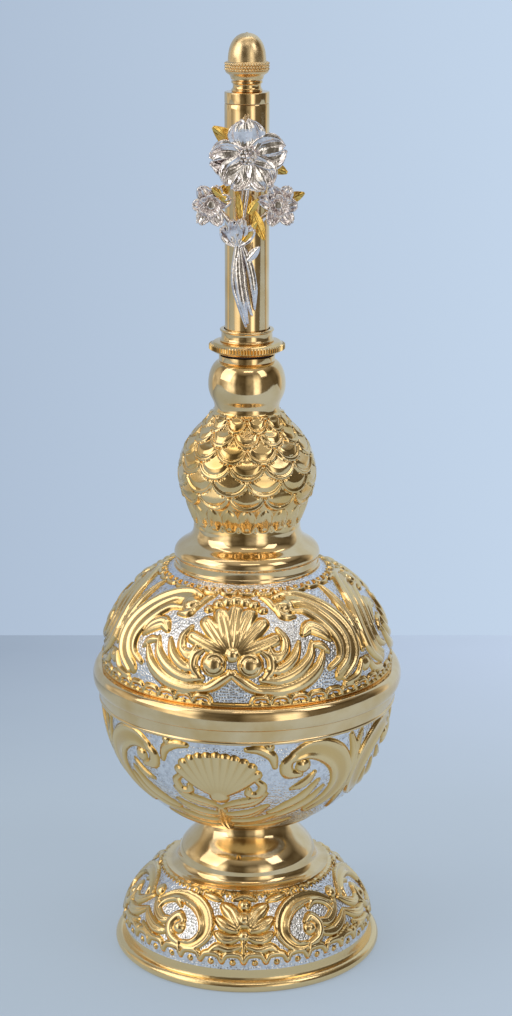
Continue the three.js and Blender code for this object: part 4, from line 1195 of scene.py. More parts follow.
    def build_bowl(self, metals: Metals) -> None:
        """The lower half: a floor with the stud's hole, a round side and a straight lip."""
        low, top = level("lower_bowl")
        zone = self.bowl_zone()
        under = even(self.lower(0.0, 200)[::-1], self.row)[:self.plain_rows + 1:3]
        inner = self.lower(self.wall, 10)
        inner[-1] = (inner[-1][0], low + self.wall)
        outline = [(self.stud_radius, low), *under[:-1], *zone.line, (self.radius, top),
                   (self.radius - self.wall, top), *inner, (self.stud_radius, low + self.wall)]
        embossed("bowl_embossed_shell", outline, self.bowl_facets, zone, metals, "lower_bowl")

    def build_band(self, metals: Metals) -> None:
        """The band round the bowl's lip, and the half-round ring above it."""
        low, top = level("lip_band")
        inside = self.radius + self.band_gap
        out = inside + self.band_wall
        foot = bead(out - 0.55, low + 0.6, 0.55, 0.6, -90.0, 60.0, 8)
        band = turn("lip_plain_band", [(inside, low), *foot, (out - 0.3, low + 1.35), (out - 0.05, low + 1.8),
                                       (out, top), (inside, top)], self.band_facets)
        dress(band, metals.gilt, "gilt", "vessel", "lip_band")
        base, crown = level("equator_ring")
        half = (crown - base) / 2
        edge = bead(out, base + half, self.ring_proud, half, -90.0, 90.0, 28)
        ring = turn("equator_half_round_ring", [(self.radius - self.wall, base), *edge,
                                                (self.radius - self.wall, crown)],
                    self.ring_facets)
        dress(ring, metals.gilt, "gilt", "vessel", "equator_ring")

    def build_dome(self, metals: Metals) -> None:
        """The upper half, with a flat seat for the collar."""
        top = level("upper_dome")[1]
        zone = self.dome_zone()
        inner = self.upper(self.wall, 10)
        inner[-1] = (inner[-1][0], top - self.wall)
        opening = self.collar_radius - 2.5 * self.wall
        outline = [*zone.line, (opening, top), (opening, top - self.wall), *inner[::-1]]
        embossed("dome_embossed_shell", outline, self.dome_facets, zone, metals, "upper_dome")


# Collar, knops and ferrule


@dataclass
class Neck:
    """The shoulder collar, the scale-chased knop, the plain knop and the threaded ferrule."""

    collar_radius: float = 21.9
    flange_height: float = 3.8
    neck_radius: float = 16.0
    knop_radius: float = 20.15
    knop_belly: float = 15.4
    joint_radius: float = 9.7
    plain_radius: float = 11.5
    plain_belly: float = 7.0
    plain_top: float = 8.8
    wall: float = 1.0
    ferrule_flange: float = 8.3
    ferrule_skirt: float = 6.6
    ferrule_skirt_height: float = 3.6
    ferrule_bore: float = 4.0
    thread_radius: float = 5.3
    thread_height: float = 4.5
    thread_pitch: float = 1.0
    thread_depth: float = 0.4
    thread_row: float = 0.11  # spacing of the rows that carry the thread
    washer_bore: float = 5.6
    washer_radius: float = 7.9
    scales_round: int = 12
    scale_rows: int = 7
    scale_row: float = 4.7
    scale_low: float = 8.8  # arc length to the lowest tips
    scale_sink: float = 0.45
    chased_row: float = 0.33  # spacing of the rows that carry the scales
    leaves: int = 20  # in the ring under the scales
    facets: int = 192
    chased_facets: int = 432
    ferrule_facets: int = 128
    washer_facets: int = 96

    def build(self, metals: Metals) -> None:
        """Builds the four pieces from the collar upwards."""
        self.build_collar(metals)
        self.build_scale_knop(metals)
        self.build_plain_knop(metals)
        self.build_ferrule(metals)

    def shell(self, name: str, outer: list[Point]) -> Piece:
        """A spun shell of even wall from its outer line."""
        inner = offset(outer, self.wall)
        inner[0] = (outer[0][0] - self.wall, outer[0][1])
        inner[-1] = (outer[-1][0] - self.wall, outer[-1][1])
        back = inner[::-1][::2]
        if len(inner) % 2 == 0:
            back.append(inner[0])
        return turn(name, [*outer, *back], self.facets)

    def build_collar(self, metals: Metals) -> None:
        """The plain collar: an upright flange and a drawn-in shoulder."""
        low, high = level("shoulder_collar")
        flange = low + self.flange_height
        rise = high - flange
        r = self.collar_radius
        waist = r - 0.35
        outer = eased([(r, low), (r, low + 0.9), (waist, low + 1.2), (waist, flange - 0.5), (r, flange)],
                      0.3, False)
        outer += bent((r, flange), (r, flange + 0.5 * rise), (self.neck_radius, flange + 0.32 * rise),
                      (self.neck_radius, high), 28)[1:]
        collar = self.shell("shoulder_polished_collar", outer)
        dress(collar, metals.gilt, "gilt", "vessel", "shoulder_collar")

    def knop_line(self) -> list[Point]:
        """The outer line of the scale-chased knop."""
        low, high = level("scale_knop")
        belly = low + self.knop_belly
        above = high - belly
        line = bent((self.neck_radius, low), (self.neck_radius, low + 0.32 * self.knop_belly),
                    (self.knop_radius, low + 0.58 * self.knop_belly), (self.knop_radius, belly), 60)
        return line + bent((self.knop_radius, belly), (self.knop_radius, belly + 0.59 * above),
                           (self.joint_radius + 2.3, belly + 0.69 * above), (self.joint_radius, high), 80)[1:]

    def scales(self, degrees: np.ndarray, arc: np.ndarray, around: np.ndarray) -> np.ndarray:
        """Height of overlapping fish scales, each with a raised rim and a groove inside it.

        Args:
            degrees: angles from the front.
            arc: mm up the surface.
            around: radius of the knop at each place.

        Returns:
            Heights in mm.
        """
        pitch = 360.0 / self.scales_round
        height = np.zeros(len(degrees))
        placed = np.zeros(len(degrees), bool)
        for row in reversed(range(self.scale_rows)):
            local = (degrees - 0.5 * pitch * (row % 2) + 0.5 * pitch) % pitch - 0.5 * pitch
            across = np.clip(np.radians(local) * around / (0.52 * math.radians(pitch) * around), -1.0, 1.0)
            edge = self.scale_row * 1.05 * (1.0 - np.sqrt(1.0 - across ** 2))
            inward = (arc - self.scale_low - self.scale_row * row - edge) * (1.0 - 0.3 * np.abs(across) ** 3)
            covers = (inward > 0.0) & ~placed
            rim = np.interp(inward, (0.0, 0.3, 0.8, 1.25, 1.6, 2.1, 3.4, 5.5, 9.0),
                            (0.0, 0.85, 1.05, 0.95, 0.45, 0.75, 1.0, 0.55, 0.1))
            height = np.where(covers, rim, height)
            placed |= covers
        return height

    def build_scale_knop(self, metals: Metals) -> None:
        """The knop with rows of fish scales over a ring of pointed leaves."""
        line = even(self.knop_line(), self.chased_row)
        leaves = []
        step = 360 // self.leaves
        for a in range(0, 360, step):
            leaves += [Stroke(((a, 1.8), (a, 5.0), (a, 8.6)), (1.2, 2.5, 0.5), 1.25, Tool.LEAF),
                       Stroke(((a + step // 2, 1.6), (a + step // 2, 4.8)), (0.5, 1.1, 0.3), 0.7)]
        zone = Zone(sunk(line, self.scale_sink, 8.0), leaves, 1)
        inner = offset(line, self.wall)[::14]
        inner[0] = (line[0][0] - self.wall, line[0][1])
        inner[-1] = (line[-1][0] - self.wall, line[-1][1])
        knop = turn("knop_scale_chased", [*zone.line, *inner[::-1]], self.chased_facets, smooth=180.0)
        points = points_of(knop)
        degrees, arc, gap = zone.locate(points)
        skin = np.flatnonzero(gap < ON_SKIN)
        around = np.hypot(points[:, 0], points[:, 1])
        height = np.zeros(len(points))
        low, _ = zone.relief(degrees[skin], arc[skin])
        scaled = self.scales(degrees[skin], arc[skin], around[skin])
        ends = np.clip(np.minimum(arc[skin] - 1.2, zone.arc[-1] - 0.9 - arc[skin]) / 0.6, 0.0, 1.0)
        height[skin] = np.maximum(low, scaled) * ends
        raise_by(knop, height, CREASE)
        dress(knop, metals.chased_gilt, "gilt", "vessel", "scale_knop")

    def build_plain_knop(self, metals: Metals) -> None:
        """The small plain knop."""
        low, high = level("plain_knop")
        belly = low + self.plain_belly
        above = high - belly
        outer = bent((self.joint_radius, low), (self.joint_radius - 0.3, low + 0.32 * self.plain_belly),
                     (self.plain_radius, low + 0.48 * self.plain_belly), (self.plain_radius, belly), 20)
        outer += bent((self.plain_radius, belly), (self.plain_radius, belly + 0.57 * above),
                      (self.plain_top + 1.2, belly + 0.9 * above), (self.plain_top, high), 20)[1:]
        knop = self.shell("knop_small_plain", outer)
        dress(knop, metals.gilt, "gilt", "vessel", "plain_knop")

    def build_ferrule(self, metals: Metals) -> None:
        """The flange on the knop, its skirt inside, and the threaded neck above."""
        low, high = level("neck_ferrule")
        seat = low + self.ferrule_skirt_height
        flange = high - self.thread_height
        r = self.thread_radius
        core = r - self.thread_depth
        wallside = even([(core, flange), (core, high - 0.3)], self.thread_row)
        plain = eased([(self.ferrule_bore, low), (self.ferrule_skirt, low), (self.ferrule_skirt, seat),
                       (self.ferrule_flange, seat), (self.ferrule_flange, flange)], 0.3)
        outline = [*plain, *wallside, (core - 0.3, high), (self.ferrule_bore, high)]
        ferrule = turn("neck_threaded_ferrule", outline, self.ferrule_facets)
        cut_thread(ferrule, core, flange + 0.4, high - 0.5, self.thread_pitch, r - core)
        dress(ferrule, metals.turned_gilt, "gilt", "vessel", "neck_ferrule")
        base, top = level("neck_washer")
        bore, edge = self.washer_bore, self.washer_radius
        outline = eased([(bore, base), (edge, base), (edge, top), (bore, top)], 0.2)
        washer = turn("neck_fibre_washer", outline, self.washer_facets)
        dress(washer, metals.sealing, "sealing", "neck_seal", "neck_washer")


def cut_thread(piece: Piece, core: float, low: float, high: float, pitch: float, depth: float) -> None:
    """Raises a right-hand screw thread on a plain round part of a turned piece.

    Args:
        piece: the turned piece.
        core: radius between the crests, where the piece is plain.
        low: height at which the thread starts.
        high: height at which it ends.
        pitch: rise for each turn.
        depth: height of the crests.
    """
    points = points_of(piece)
    radius = np.hypot(points[:, 0], points[:, 1])
    angle = np.arctan2(points[:, 1], points[:, 0]) / math.tau
    phase = (points[:, 2] / pitch - angle) % 1.0
    crest = np.clip(1.35 - np.abs(phase - 0.5) * 3.6, 0.0, 1.0)
    fade = np.clip(np.minimum(points[:, 2] - low, high - points[:, 2]) / 0.25, 0.0, 1.0)
    raise_by(piece, np.where(np.abs(radius - core) < ON_WALL, crest * fade * depth, 0.0), 45.0)


# Spout


@dataclass
class Spout:
    """The knurled nut, collar, tube and bush, and the pierced head on top."""

    nut_radius: float = 11.25
    nut_core: float = 10.5
    nut_bore: float = 5.6
    nut_chamfer: float = 0.7
    knurl_band: float = 1.9
    teeth: int = 72
    tooth_drop: float = 0.24  # how far a tooth's flanks lie below its crest
    tube_radius: float = 6.5
    tube_wall: float = 0.8
    gap: float = 0.3
    collar_radius: float = 8.0
    collar_band: float = 0.7
    plug: float = 4.2
    head_thread: float = 3.4
    neck_radius: float = 4.5
    groove_radius: float = 4.05
    groove_band: float = 0.7
    cap_thread: float = 3.5
    cap_thread_height: float = 5.0
    cap_thread_depth: float = 0.35
    cap_thread_pitch: float = 1.0
    thread_row: float = 0.12  # spacing of the rows that carry the thread
    head_bore: float = 2.5
    rose: float = 1.0
    hole: float = 0.45
    hole_circle: float = 1.6
    holes: int = 6  # in the circle, round one in the middle
    facets: int = 128
    head_facets: int = 96

    def build(self, metals: Metals) -> None:
        """Builds the pieces from the nut upwards."""
        self.build_nut(metals)
        self.build_tube(metals)
        self.build_head(metals)

    def build_nut(self, metals: Metals) -> None:
        """The nut: a disc with rounded faces and a straight-knurled edge."""
        low, high = level("knurled_nut")
        middle = (low + high) / 2
        half = self.knurl_band / 2
        rows = [(self.nut_core, middle - half + self.knurl_band * i / 6) for i in range(7)]
        flank = self.nut_core - 0.25
        outline = [(self.nut_bore, low), (self.nut_core - self.nut_chamfer - 0.6, low),
                   (self.nut_core - self.nut_chamfer, low + 0.12), (flank, middle - half - 0.12), *rows,
                   (flank, middle + half + 0.12), (self.nut_core - self.nut_chamfer, high - 0.12),
                   (self.nut_core - self.nut_chamfer - 0.6, high), (self.nut_bore, high)]
        nut = turn("nut_knurled_edge", outline, self.teeth * 4, smooth=30.0)
        points = points_of(nut)
        radius = np.hypot(points[:, 0], points[:, 1])
        step = np.round(np.arctan2(points[:, 1], points[:, 0]) / math.tau * self.teeth * 4).astype(int) % 4
        edge = (np.abs(radius - self.nut_core) < ON_WALL) & (np.abs(points[:, 2] - middle) < half - 0.1)
        side = self.nut_radius - self.tooth_drop
        for phase, out in ((0, self.nut_radius), (1, side), (3, side)):
            grow = out / self.nut_core
            picking(nut, edge & (step == phase))
            bpy.ops.transform.resize(value=(grow, grow, 1.0), center_override=(0.0, 0.0, middle * MM))
        settle(nut, "nut_knurled_edge", 30.0)
        dress(nut, metals.chased_gilt, "gilt", "spout", "knurled_nut")

    def build_tube(self, metals: Metals) -> None:
        """The collar at the tube's foot, the tube, and the bush at its top."""
        low, high = level("spout_collar")
        r = self.collar_radius
        waist = r - 0.45
        band = self.collar_band
        bore = self.tube_radius + self.gap
        lower, upper = (bead(r - 0.3, z, 0.3, band / 2, -90, 90, 8)
                        for z in (low + band / 2, high - band / 2))
        outline = [(bore, low), *lower, (waist, low + band + 0.25), (waist, high - band - 0.25), *upper,
                   (bore, high)]
        dress(turn("spout_foot_collar", outline, self.facets), metals.turned_gilt, "gilt", "spout",
              "spout_collar")
        low, high = level("spout_tube")
        bore = self.tube_radius - self.tube_wall
        line = even([(self.tube_radius, low), (self.tube_radius, high - 0.3)], 2.0)
        outline = [(bore, low), *line, (self.tube_radius - 0.1, high - 0.08), (self.tube_radius - 0.3, high),
                   (bore, high)]
        dress(turn("spout_plain_tube", outline, self.facets), metals.turned_gilt, "gilt", "spout",
              "spout_tube")
        low, high = level("tube_top_bush")
        seat = low + self.plug
        r = self.tube_radius
        bore = self.head_thread + self.gap
        outline = eased([(bore, low), (bore + 1.8, low), (bore + 1.8, seat), (r, seat), (r, high),
                         (bore, high)], 0.3)
        dress(turn("tube_top_plain_bush", outline, self.facets), metals.turned_gilt, "gilt", "spout",
              "tube_top_bush")

    def build_head(self, metals: Metals) -> None:
        """The head: a ringed neck, a thread for the cap and a rose pierced with seven holes."""
        low, top = level("sprinkler_head")
        bush = level("tube_top_bush")[1]
        ring = top - self.cap_thread_height
        band = self.groove_band
        core = self.cap_thread - self.cap_thread_depth
        groove = bead(self.neck_radius, (bush + ring) / 2, self.groove_radius - self.neck_radius,
                      (ring - bush) / 2 - band, -90.0, 90.0, 10)
        line = even([(core, ring), (core, top - 0.6)], self.thread_row)
        outline = [(self.head_bore, low), (self.head_thread, low), (self.head_thread, bush),
                   (self.neck_radius - 0.15, bush), (self.neck_radius, bush + 0.15), *groove,
                   (self.neck_radius, ring - 0.15), (self.neck_radius - 0.15, ring), *line,
                   (core - 0.25, top - 0.12), (core - 0.6, top), (0.0, top)]
        under = [(0.0, top - self.rose), (self.head_bore, top - self.rose), (self.head_bore, low)]
        head = turn("head_pierced", [*under, *outline[1:]], self.head_facets, closed=False)
        cut_thread(head, core, ring + 0.35, top - 0.7, self.cap_thread_pitch, self.cap_thread - core)
        drills = []
        for i in range(self.holes + 1):
            circle = 0.0 if i == self.holes else self.hole_circle
            angle = math.tau * i / self.holes
            deselect()
            bpy.ops.mesh.primitive_cylinder_add(
                vertices=20, radius=self.hole * MM, depth=3 * self.rose * MM,
                location=(circle * math.cos(angle) * MM, circle * math.sin(angle) * MM,
                          (top - 0.5 * self.rose) * MM))
            drills.append(settle(bpy.context.active_object, "drill", 40.0))
        drill = joined(drills, "drill")
        pierce = head.modifiers.new("pierce", "BOOLEAN")
        pierce.object = drill
        pierce.operation = "DIFFERENCE"
        pierce.solver = "EXACT"
        apply_all(head)
        bpy.data.objects.remove(drill)
        settle(head, "head_pierced", 38.0)
        dress(head, metals.turned_gilt, "gilt", "spout", "sprinkler_head")


@dataclass
class Cap:
    """The screw cap: a beaded band under a plain acorn."""

    bore: float = 3.8
    foot_radius: float = 4.6
    band_radius: float = 6.5
    band_base: float = 2.4
    band_height: float = 2.6
    acorn_radius: float = 5.5
    rows: int = 3
    beads: int = 46  # in each row
    bead_height: float = 0.42
    row: float = 0.115  # spacing of the rows of points that carry the beads
    facets: int = 368

    def build(self, metals: Metals) -> None:
        """Turns the cap and raises the beads of its band."""
        low, high = level("acorn_cap")
        foot = low + self.band_base
        top = foot + self.band_height
        rise = high - top
        ceiling = level("cap_liner")[1]
        skirt = bent((self.foot_radius, low), (self.foot_radius + 0.3, low + 0.8 * self.band_base),
                     (self.band_radius - 0.5, low + 0.5 * self.band_base),
                     (self.band_radius - 0.25, foot), 12)
        r = self.band_radius - self.bead_height
        band = even([(r, foot + 0.1), (r, top - 0.15)], self.row)
        acorn = bent((self.acorn_radius, top + 0.1), (self.acorn_radius, top + 0.62 * rise),
                     (0.62 * self.acorn_radius, high - 0.35), (0.5, high - 0.2), 26)
        acorn += [(0.3, high - 0.05), (0.0, high)]
        outline = [(0.0, ceiling), (self.bore, ceiling), (self.bore, low), *skirt, *band,
                   (self.band_radius - 0.55, top), (self.acorn_radius + 0.15, top - 0.02), *acorn]
        cap = turn("cap_acorn_screw", outline, self.facets, closed=False)
        points = points_of(cap)
        radius = np.hypot(points[:, 0], points[:, 1])
        pitch = (self.band_height - 0.25) / self.rows
        up = (points[:, 2] - foot - 0.1) / pitch
        row = np.floor(up)
        round_ = np.arctan2(points[:, 1], points[:, 0]) / math.tau * self.beads + 0.5 * (row % 2)
        bump = np.clip(1.0 - (((round_ % 1.0) - 0.5) / 0.5) ** 2 - ((up - row - 0.5) / 0.5) ** 2, 0.0, 1.0)
        on_band = (np.abs(radius - r) < ON_WALL) & (up > 0.0) & (up < self.rows)
        raise_by(cap, np.where(on_band, self.bead_height * bump ** 0.5, 0.0), 50.0)
        dress(cap, metals.satin_gilt, "gilt", "cap", "acorn_cap")
        refinish("cap_liner", metals.sealing)


# Flower spray


def flat_grid(columns: int, rows: int) -> tuple[Piece, np.ndarray, np.ndarray]:
    """A flat grid that a petal or a leaf is drawn out of.

    Args:
        columns: cells across.
        rows: cells along.

    Returns:
        The grid, with each vertex's place across it from -1 to 1 and along it from 0 to 1.
    """
    deselect()
    bpy.ops.mesh.primitive_grid_add(x_subdivisions=columns, y_subdivisions=rows, size=2 * MM)
    piece = bpy.context.active_object
    grid = points_of(piece)
    return piece, grid[:, 0], (grid[:, 1] + 1.0) / 2.0


def cast_sheet(piece: Piece, across: np.ndarray, along: np.ndarray, up: np.ndarray,
               thickness: float) -> Piece:
    """Draws out a grid, thickens it and softens it.

    Args:
        piece: the grid.
        across: where each vertex goes along X, in mm.
        along: the same along Y.
        up: the same along Z.
        thickness: thickness of the casting in mm.

    Returns:
        The closed piece.
    """
    put_points(piece, np.stack([across, along, up], axis=1))
    sheet = piece.modifiers.new("sheet", "SOLIDIFY")
    sheet.thickness = thickness * MM
    sheet.offset = 0.0
    soft = piece.modifiers.new("soft", "SUBSURF")
    soft.levels = soft.render_levels = 1
    apply_all(piece)
    return piece


@dataclass(frozen=True)
class Petal:
    """One ruffled petal, made along +Y and facing +Z."""

    length: float
    width: float
    lift: float
    seed: int
    point: float = 0.0  # 0 is a broad rounded tip, 1 a pointed one
    ruffle: float = 0.055  # depth of the folds, as a share of the length
    thickness: float = 0.7
    rows: int = 22
    columns: int = 20

    def build(self) -> Piece:
        """Draws out a grid into the petal: operators can't give its folds, so they are set point by point.

        Returns:
            The petal, closed, at the origin.
        """
        piece, v, u = flat_grid(self.columns, self.rows)
        phase = 1.7 * self.seed
        rising = 0.3 + 0.7 * np.sin(np.minimum(1.0, u / 0.6) * math.pi / 2)
        broad = np.sqrt(1 - 0.85 * (np.maximum(0.0, u - 0.62) / 0.38) ** 2)
        sharp = 1 - 0.88 * np.maximum(0.0, u - 0.4) / 0.6
        half = self.width / 2 * rising * ((1 - self.point) * broad + self.point * sharp)
        notch = 1.0 - 0.10 * u * v * v - 0.12 * (1 - self.point) * u ** 3 * np.exp(-(v / 0.2) ** 2)
        folds = self.ruffle * self.length * u * np.cos(2.5 * math.pi * v + 0.6 * math.sin(phase))
        veins = 0.024 * self.length * np.sqrt(np.clip(u, 0, 1)) * np.cos(8.0 * math.pi * v + phase)
        frill = 0.07 * self.length * u ** 3 * np.abs(v) * np.sin(5.0 * math.pi * v + 2.0 * phase)
        wave = 0.04 * self.length * u * np.sin(3.0 * math.pi * u + phase)
        curl = -0.22 * self.lift * np.clip((u - 0.7) / 0.3, 0, 1) ** 2
        rise = self.lift * u * u + 0.2 * half * v * v
        return cast_sheet(piece, v * half, self.length * u * notch,
                          rise + folds + veins + frill + wave + curl, self.thickness)


@dataclass(frozen=True)
class Leaf:
    """One pointed leaf with a raised middle rib, made along +Y and facing +Z."""

    start: float
    length: float
    width: float
    lift: float = 0.6
    thickness: float = 0.6

    def build(self) -> Piece:
        """Draws out a grid into the leaf, with side veins, and thickens it.

        Returns:
            The leaf, closed, at the origin.
        """
        piece, v, u = flat_grid(14, 22)
        half = self.width / 2 * (0.12 + 0.88 * np.sin(math.pi * (0.12 + 0.86 * u)))
        out = np.abs(v)
        veins = 0.05 * self.width * np.cos(2 * math.pi * (5 * u - 1.6 * out)) * out * (1 - out)
        rib = -0.3 * half * out + 0.16 * np.exp(-(v / 0.14) ** 2)
        return cast_sheet(piece, v * half, self.start + self.length * u, self.lift * u * u + rib + veins,
                          self.thickness)


def set_facing(piece: Piece, degrees: float, centre: Sequence[float]) -> Piece:
    """Lays a piece made along +Y at an angle in the front plane, facing -Y.

    Args:
        piece: the piece.
        degrees: its direction, 0 to the right and 90 up.
        centre: where its root goes, in mm.

    Returns:
        The same piece, with its place in its mesh.
    """
    angle = math.radians(degrees)
    along = Vector((math.cos(angle), 0.0, math.sin(angle)))
    front = Vector((0.0, -1.0, 0.0))
    side = along.cross(front)
    turned = Matrix((side, along, front)).transposed().to_4x4()
    piece.matrix_world = Matrix.Translation(Vector(centre) * MM) @ turned
    take(piece)
    bpy.ops.object.transform_apply(location=True, rotation=True, scale=True)
    return piece


def wire(name: str, points: Sequence[tuple[float, float, float, float]], sides: int = 4) -> Piece:
    """A tapering cast twig along points that carry their own radius.

    Args:
        name: the name of the piece.
        points: (x, y, z, radius) in mm.
        sides: roundness of the twig.

    Returns:
        The twig as a closed mesh.
    """
    deselect()
    bpy.ops.curve.primitive_bezier_curve_add(location=(0.0, 0.0, 0.0))
    piece = bpy.context.active_object
    curve = piece.data
    curve.splines.clear()
    spline = curve.splines.new("BEZIER")
    spline.bezier_points.add(len(points) - 1)
    for knot, (x, y, z, radius) in zip(spline.bezier_points, points):
        knot.co = (x * MM, y * MM, z * MM)
        knot.radius = radius
        knot.handle_left_type = knot.handle_right_type = "AUTO"
    curve.resolution_u = 10
    curve.bevel_depth = MM
    curve.bevel_resolution = sides
    curve.use_fill_caps = True
    take(piece)
    bpy.ops.object.convert(target="MESH")
    piece = bpy.context.active_object
    editing(piece)
    bpy.ops.mesh.remove_doubles(threshold=WELD / 2 * MM)
    bpy.ops.mesh.normals_make_consistent(inside=False)
    return settle(piece, name)


@dataclass
class Spray:
    """The cast flower spray: blossoms, stamens, gilt leaves and the bundle of twigs."""

    tube_radius: float = 6.5
    gap: float = 0.3
    main_x: float = 0.3
    main_drop: float = 17.0
    main_standoff: float = 4.6
    petal_length: float = 11.4
    petal_width: float = 10.8
    side_spread: float = 9.6
    side_shift: float = -0.6
    side_drop: float = 31.2
    side_standoff: float = 3.0
    side_length: float = 6.2
    side_width: float = 5.0
    side_point: float = 0.35
    bell_length: float = 8.6
    twig_radius: float = 1.05
    fork_drop: float = 12.0
    bell_drop: float = 43.0
    main_boss: Place = (1.7, 1.2, 1.6)  # radius, and how far it reaches behind and before its centre
    side_boss: Place = (1.3, 0.5, 1.6)
    boss_edge: float = 0.35  # rounded edge of a boss, as a share of its radius
    # Rings of anthers: radius of the ring, shift as a share of the spacing, number, radius of an anther
    anthers: tuple[tuple[float, float, int, float], ...] = ((0.0, 0.0, 1, 0.75), (1.25, 0.0, 6, 0.5),
                                                            (2.15, 0.5, 11, 0.42))
    # Each petal's direction in degrees, share of the full length, and how far its tip stands forward
    main_petals: tuple[Place, ...] = ((94, 0.95, 2.4), (12, 1.0, 2.0), (186, 1.0, 1.6), (238, 0.95, 2.7),
                                      (302, 0.98, 2.3))
    side_petals: tuple[Place, ...] = ((182, 0.92, 0.9), (236, 1.1, 1.3), (122, 1.06, 1.5), (70, 1.0, 2.0),
                                      (20, 1.02, 2.2), (292, 1.06, 1.8))
    heart_petals: tuple[Place, ...] = ((150, 0.6, 2.6), (204, 0.62, 2.5), (96, 0.55, 2.8), (258, 0.55, 2.7),
                                       (322, 0.5, 2.9), (42, 0.5, 2.9))
    bell_petals: tuple[Place, ...] = ((52, 0.9, 1.2), (78, 1.0, 2.2), (100, 0.95, 2.6), (128, 0.85, 1.0))

    def __post_init__(self) -> None:
        """Places the blossoms from the frame's heights."""
        self.top = level("tube_top_bush")[1]
        self.main = (self.main_x, -self.tube_radius - self.main_standoff, self.top - self.main_drop)

    def side(self, sign: int) -> tuple[float, float, float]:
        """Centre of a side blossom, -1 left and 1 right."""
        return (sign * self.side_spread + self.side_shift, -self.tube_radius - self.side_standoff,
                self.top - self.side_drop)

    def disc(self, centre: Sequence[float], radius: float, back: float, front: float, corner: float,
             sides: int = 40, segments: int = 4) -> Piece:
        """A disc that faces -Y, with rounded edges.

        Args:
            centre: its centre in mm.
            radius: its radius.
            back: how far it reaches behind the centre.
            front: how far it reaches before it.
            corner: radius of its rounded edges.
            sides: number of facets round it.
            segments: number of facets across an edge.

        Returns:
            The disc.
        """
        deselect()
        bpy.ops.mesh.primitive_cylinder_add(
            vertices=sides, radius=radius * MM, depth=(back + front) * MM, rotation=(math.pi / 2, 0.0, 0.0),
            location=(centre[0] * MM, (centre[1] + (back - front) / 2) * MM, centre[2] * MM))
        piece = bpy.context.active_object
        soft = piece.modifiers.new("soft", "BEVEL")
        soft.width = corner * MM
        soft.segments = segments
        soft.limit_method = "ANGLE"
        apply_all(piece)
        return settle(piece, "disc")

    def petals(self, centre: Sequence[float], places: Sequence[Place], length: float, width: float,
               point: float, seed: int) -> list[Piece]:
        """Sets petals round a centre; the seed makes their folds differ from those of other blossoms."""
        return [set_facing(Petal(length * share, width, lift, seed + i, point).build(), degrees, centre)
                for i, (degrees, share, lift) in enumerate(places)]

    def build(self, metals: Metals) -> None:
        """Builds every part of the spray."""
        parts = [self.disc(self.main, *self.main_boss, self.boss_edge * self.main_boss[0])]
        parts += self.petals(self.main, self.main_petals, self.petal_length, self.petal_width, 0.0, 12)
        main = settle(joined(parts, "blossom_main"), "blossom_main")
        dress(main, metals.silvered, "silvered", "spout", "main_blossom")
        for sign, name in ((-1, "left"), (1, "right")):
            outer, heart = ([(a if sign < 0 else 180 - a, share, lift) for a, share, lift in places]
                            for places in (self.side_petals, self.heart_petals))
            centre = self.side(sign)
            parts = [self.disc(centre, *self.side_boss, self.boss_edge * self.side_boss[0])]
            parts += self.petals(centre, outer, self.side_length, self.side_width, self.side_point, 5 + sign)
            parts += self.petals(centre, heart, self.side_length, 0.65 * self.side_width, 0.4, 21 + sign)
            side = settle(joined(parts, f"blossom_{name}"), f"blossom_{name}")
            dress(side, metals.silvered, "silvered", "spout", f"{name}_blossom")
        self.build_stamens(metals)
        self.build_leaves(metals)
        self.build_twigs(metals)

    def build_stamens(self, metals: Metals) -> None:
        """A domed button ringed with small round anthers."""
        x, y, z = self.main
        front = y - self.main_boss[2]
        parts = []
        reach = self.anthers[-1][0]
        for out, angle, size in ((out, math.tau * (i + shift) / count, size)
                                 for out, shift, count, size in self.anthers for i in range(count)):
            deselect()
            bpy.ops.mesh.primitive_uv_sphere_add(
                segments=14, ring_count=8, radius=size * MM,
                location=((x + out * math.cos(angle)) * MM, (front - 0.75 + 0.35 * (out / reach) ** 2) * MM,
                          (z + out * math.sin(angle)) * MM))
            ballish = bpy.context.active_object
            editing(ballish)
            bpy.ops.transform.resize(value=(1.0, 1.15, 1.0))
            parts.append(settle(ballish, "anther"))
        parts.append(self.disc((x, front, z), 2.5, 0.0, 0.7, 0.25, 36, 3))
        stamens = settle(joined(parts, "blossom_stamen_bunch"), "blossom_stamen_bunch")
        dress(stamens, metals.silvered, "silvered", "spout", "blossom_stamens")

    def build_leaves(self, metals: Metals) -> None:
        """The gilt leaves behind the blossoms and the one over the twigs' fork."""
        behind = 0.35 + self.gap + 0.3
        back, left, right = ((x, y + behind, z) for x, y, z in (self.main, self.side(-1), self.side(1)))
        fork = (1.6, self.side(-1)[1] - 0.6, self.side(-1)[2] - 1.7)
        leaves = (
            ("leaf_upper_left", Leaf(2.3, 10.6, 5.2), 141, back),
            ("leaf_lower_right", Leaf(2.3, 10.0, 4.6), 336, back),
            ("leaf_left", Leaf(1.9, 6.3, 3.2), 48, left),
            ("leaf_right", Leaf(1.9, 6.3, 3.2), 24, right),
            ("leaf_fork_low", Leaf(0.0, 9.0, 3.4, lift=1.2), 292, fork),
        )
        for name, leaf, degrees, centre in leaves:
            piece = set_facing(leaf.build(), degrees, centre)
            if name == "leaf_fork_low":
                piece = joined([piece, *self.buds()], name)
            settle(piece, name.replace("leaf", "gilt_leaf"))
            dress(piece, metals.gilt_cast, "gilt", "spout", name)

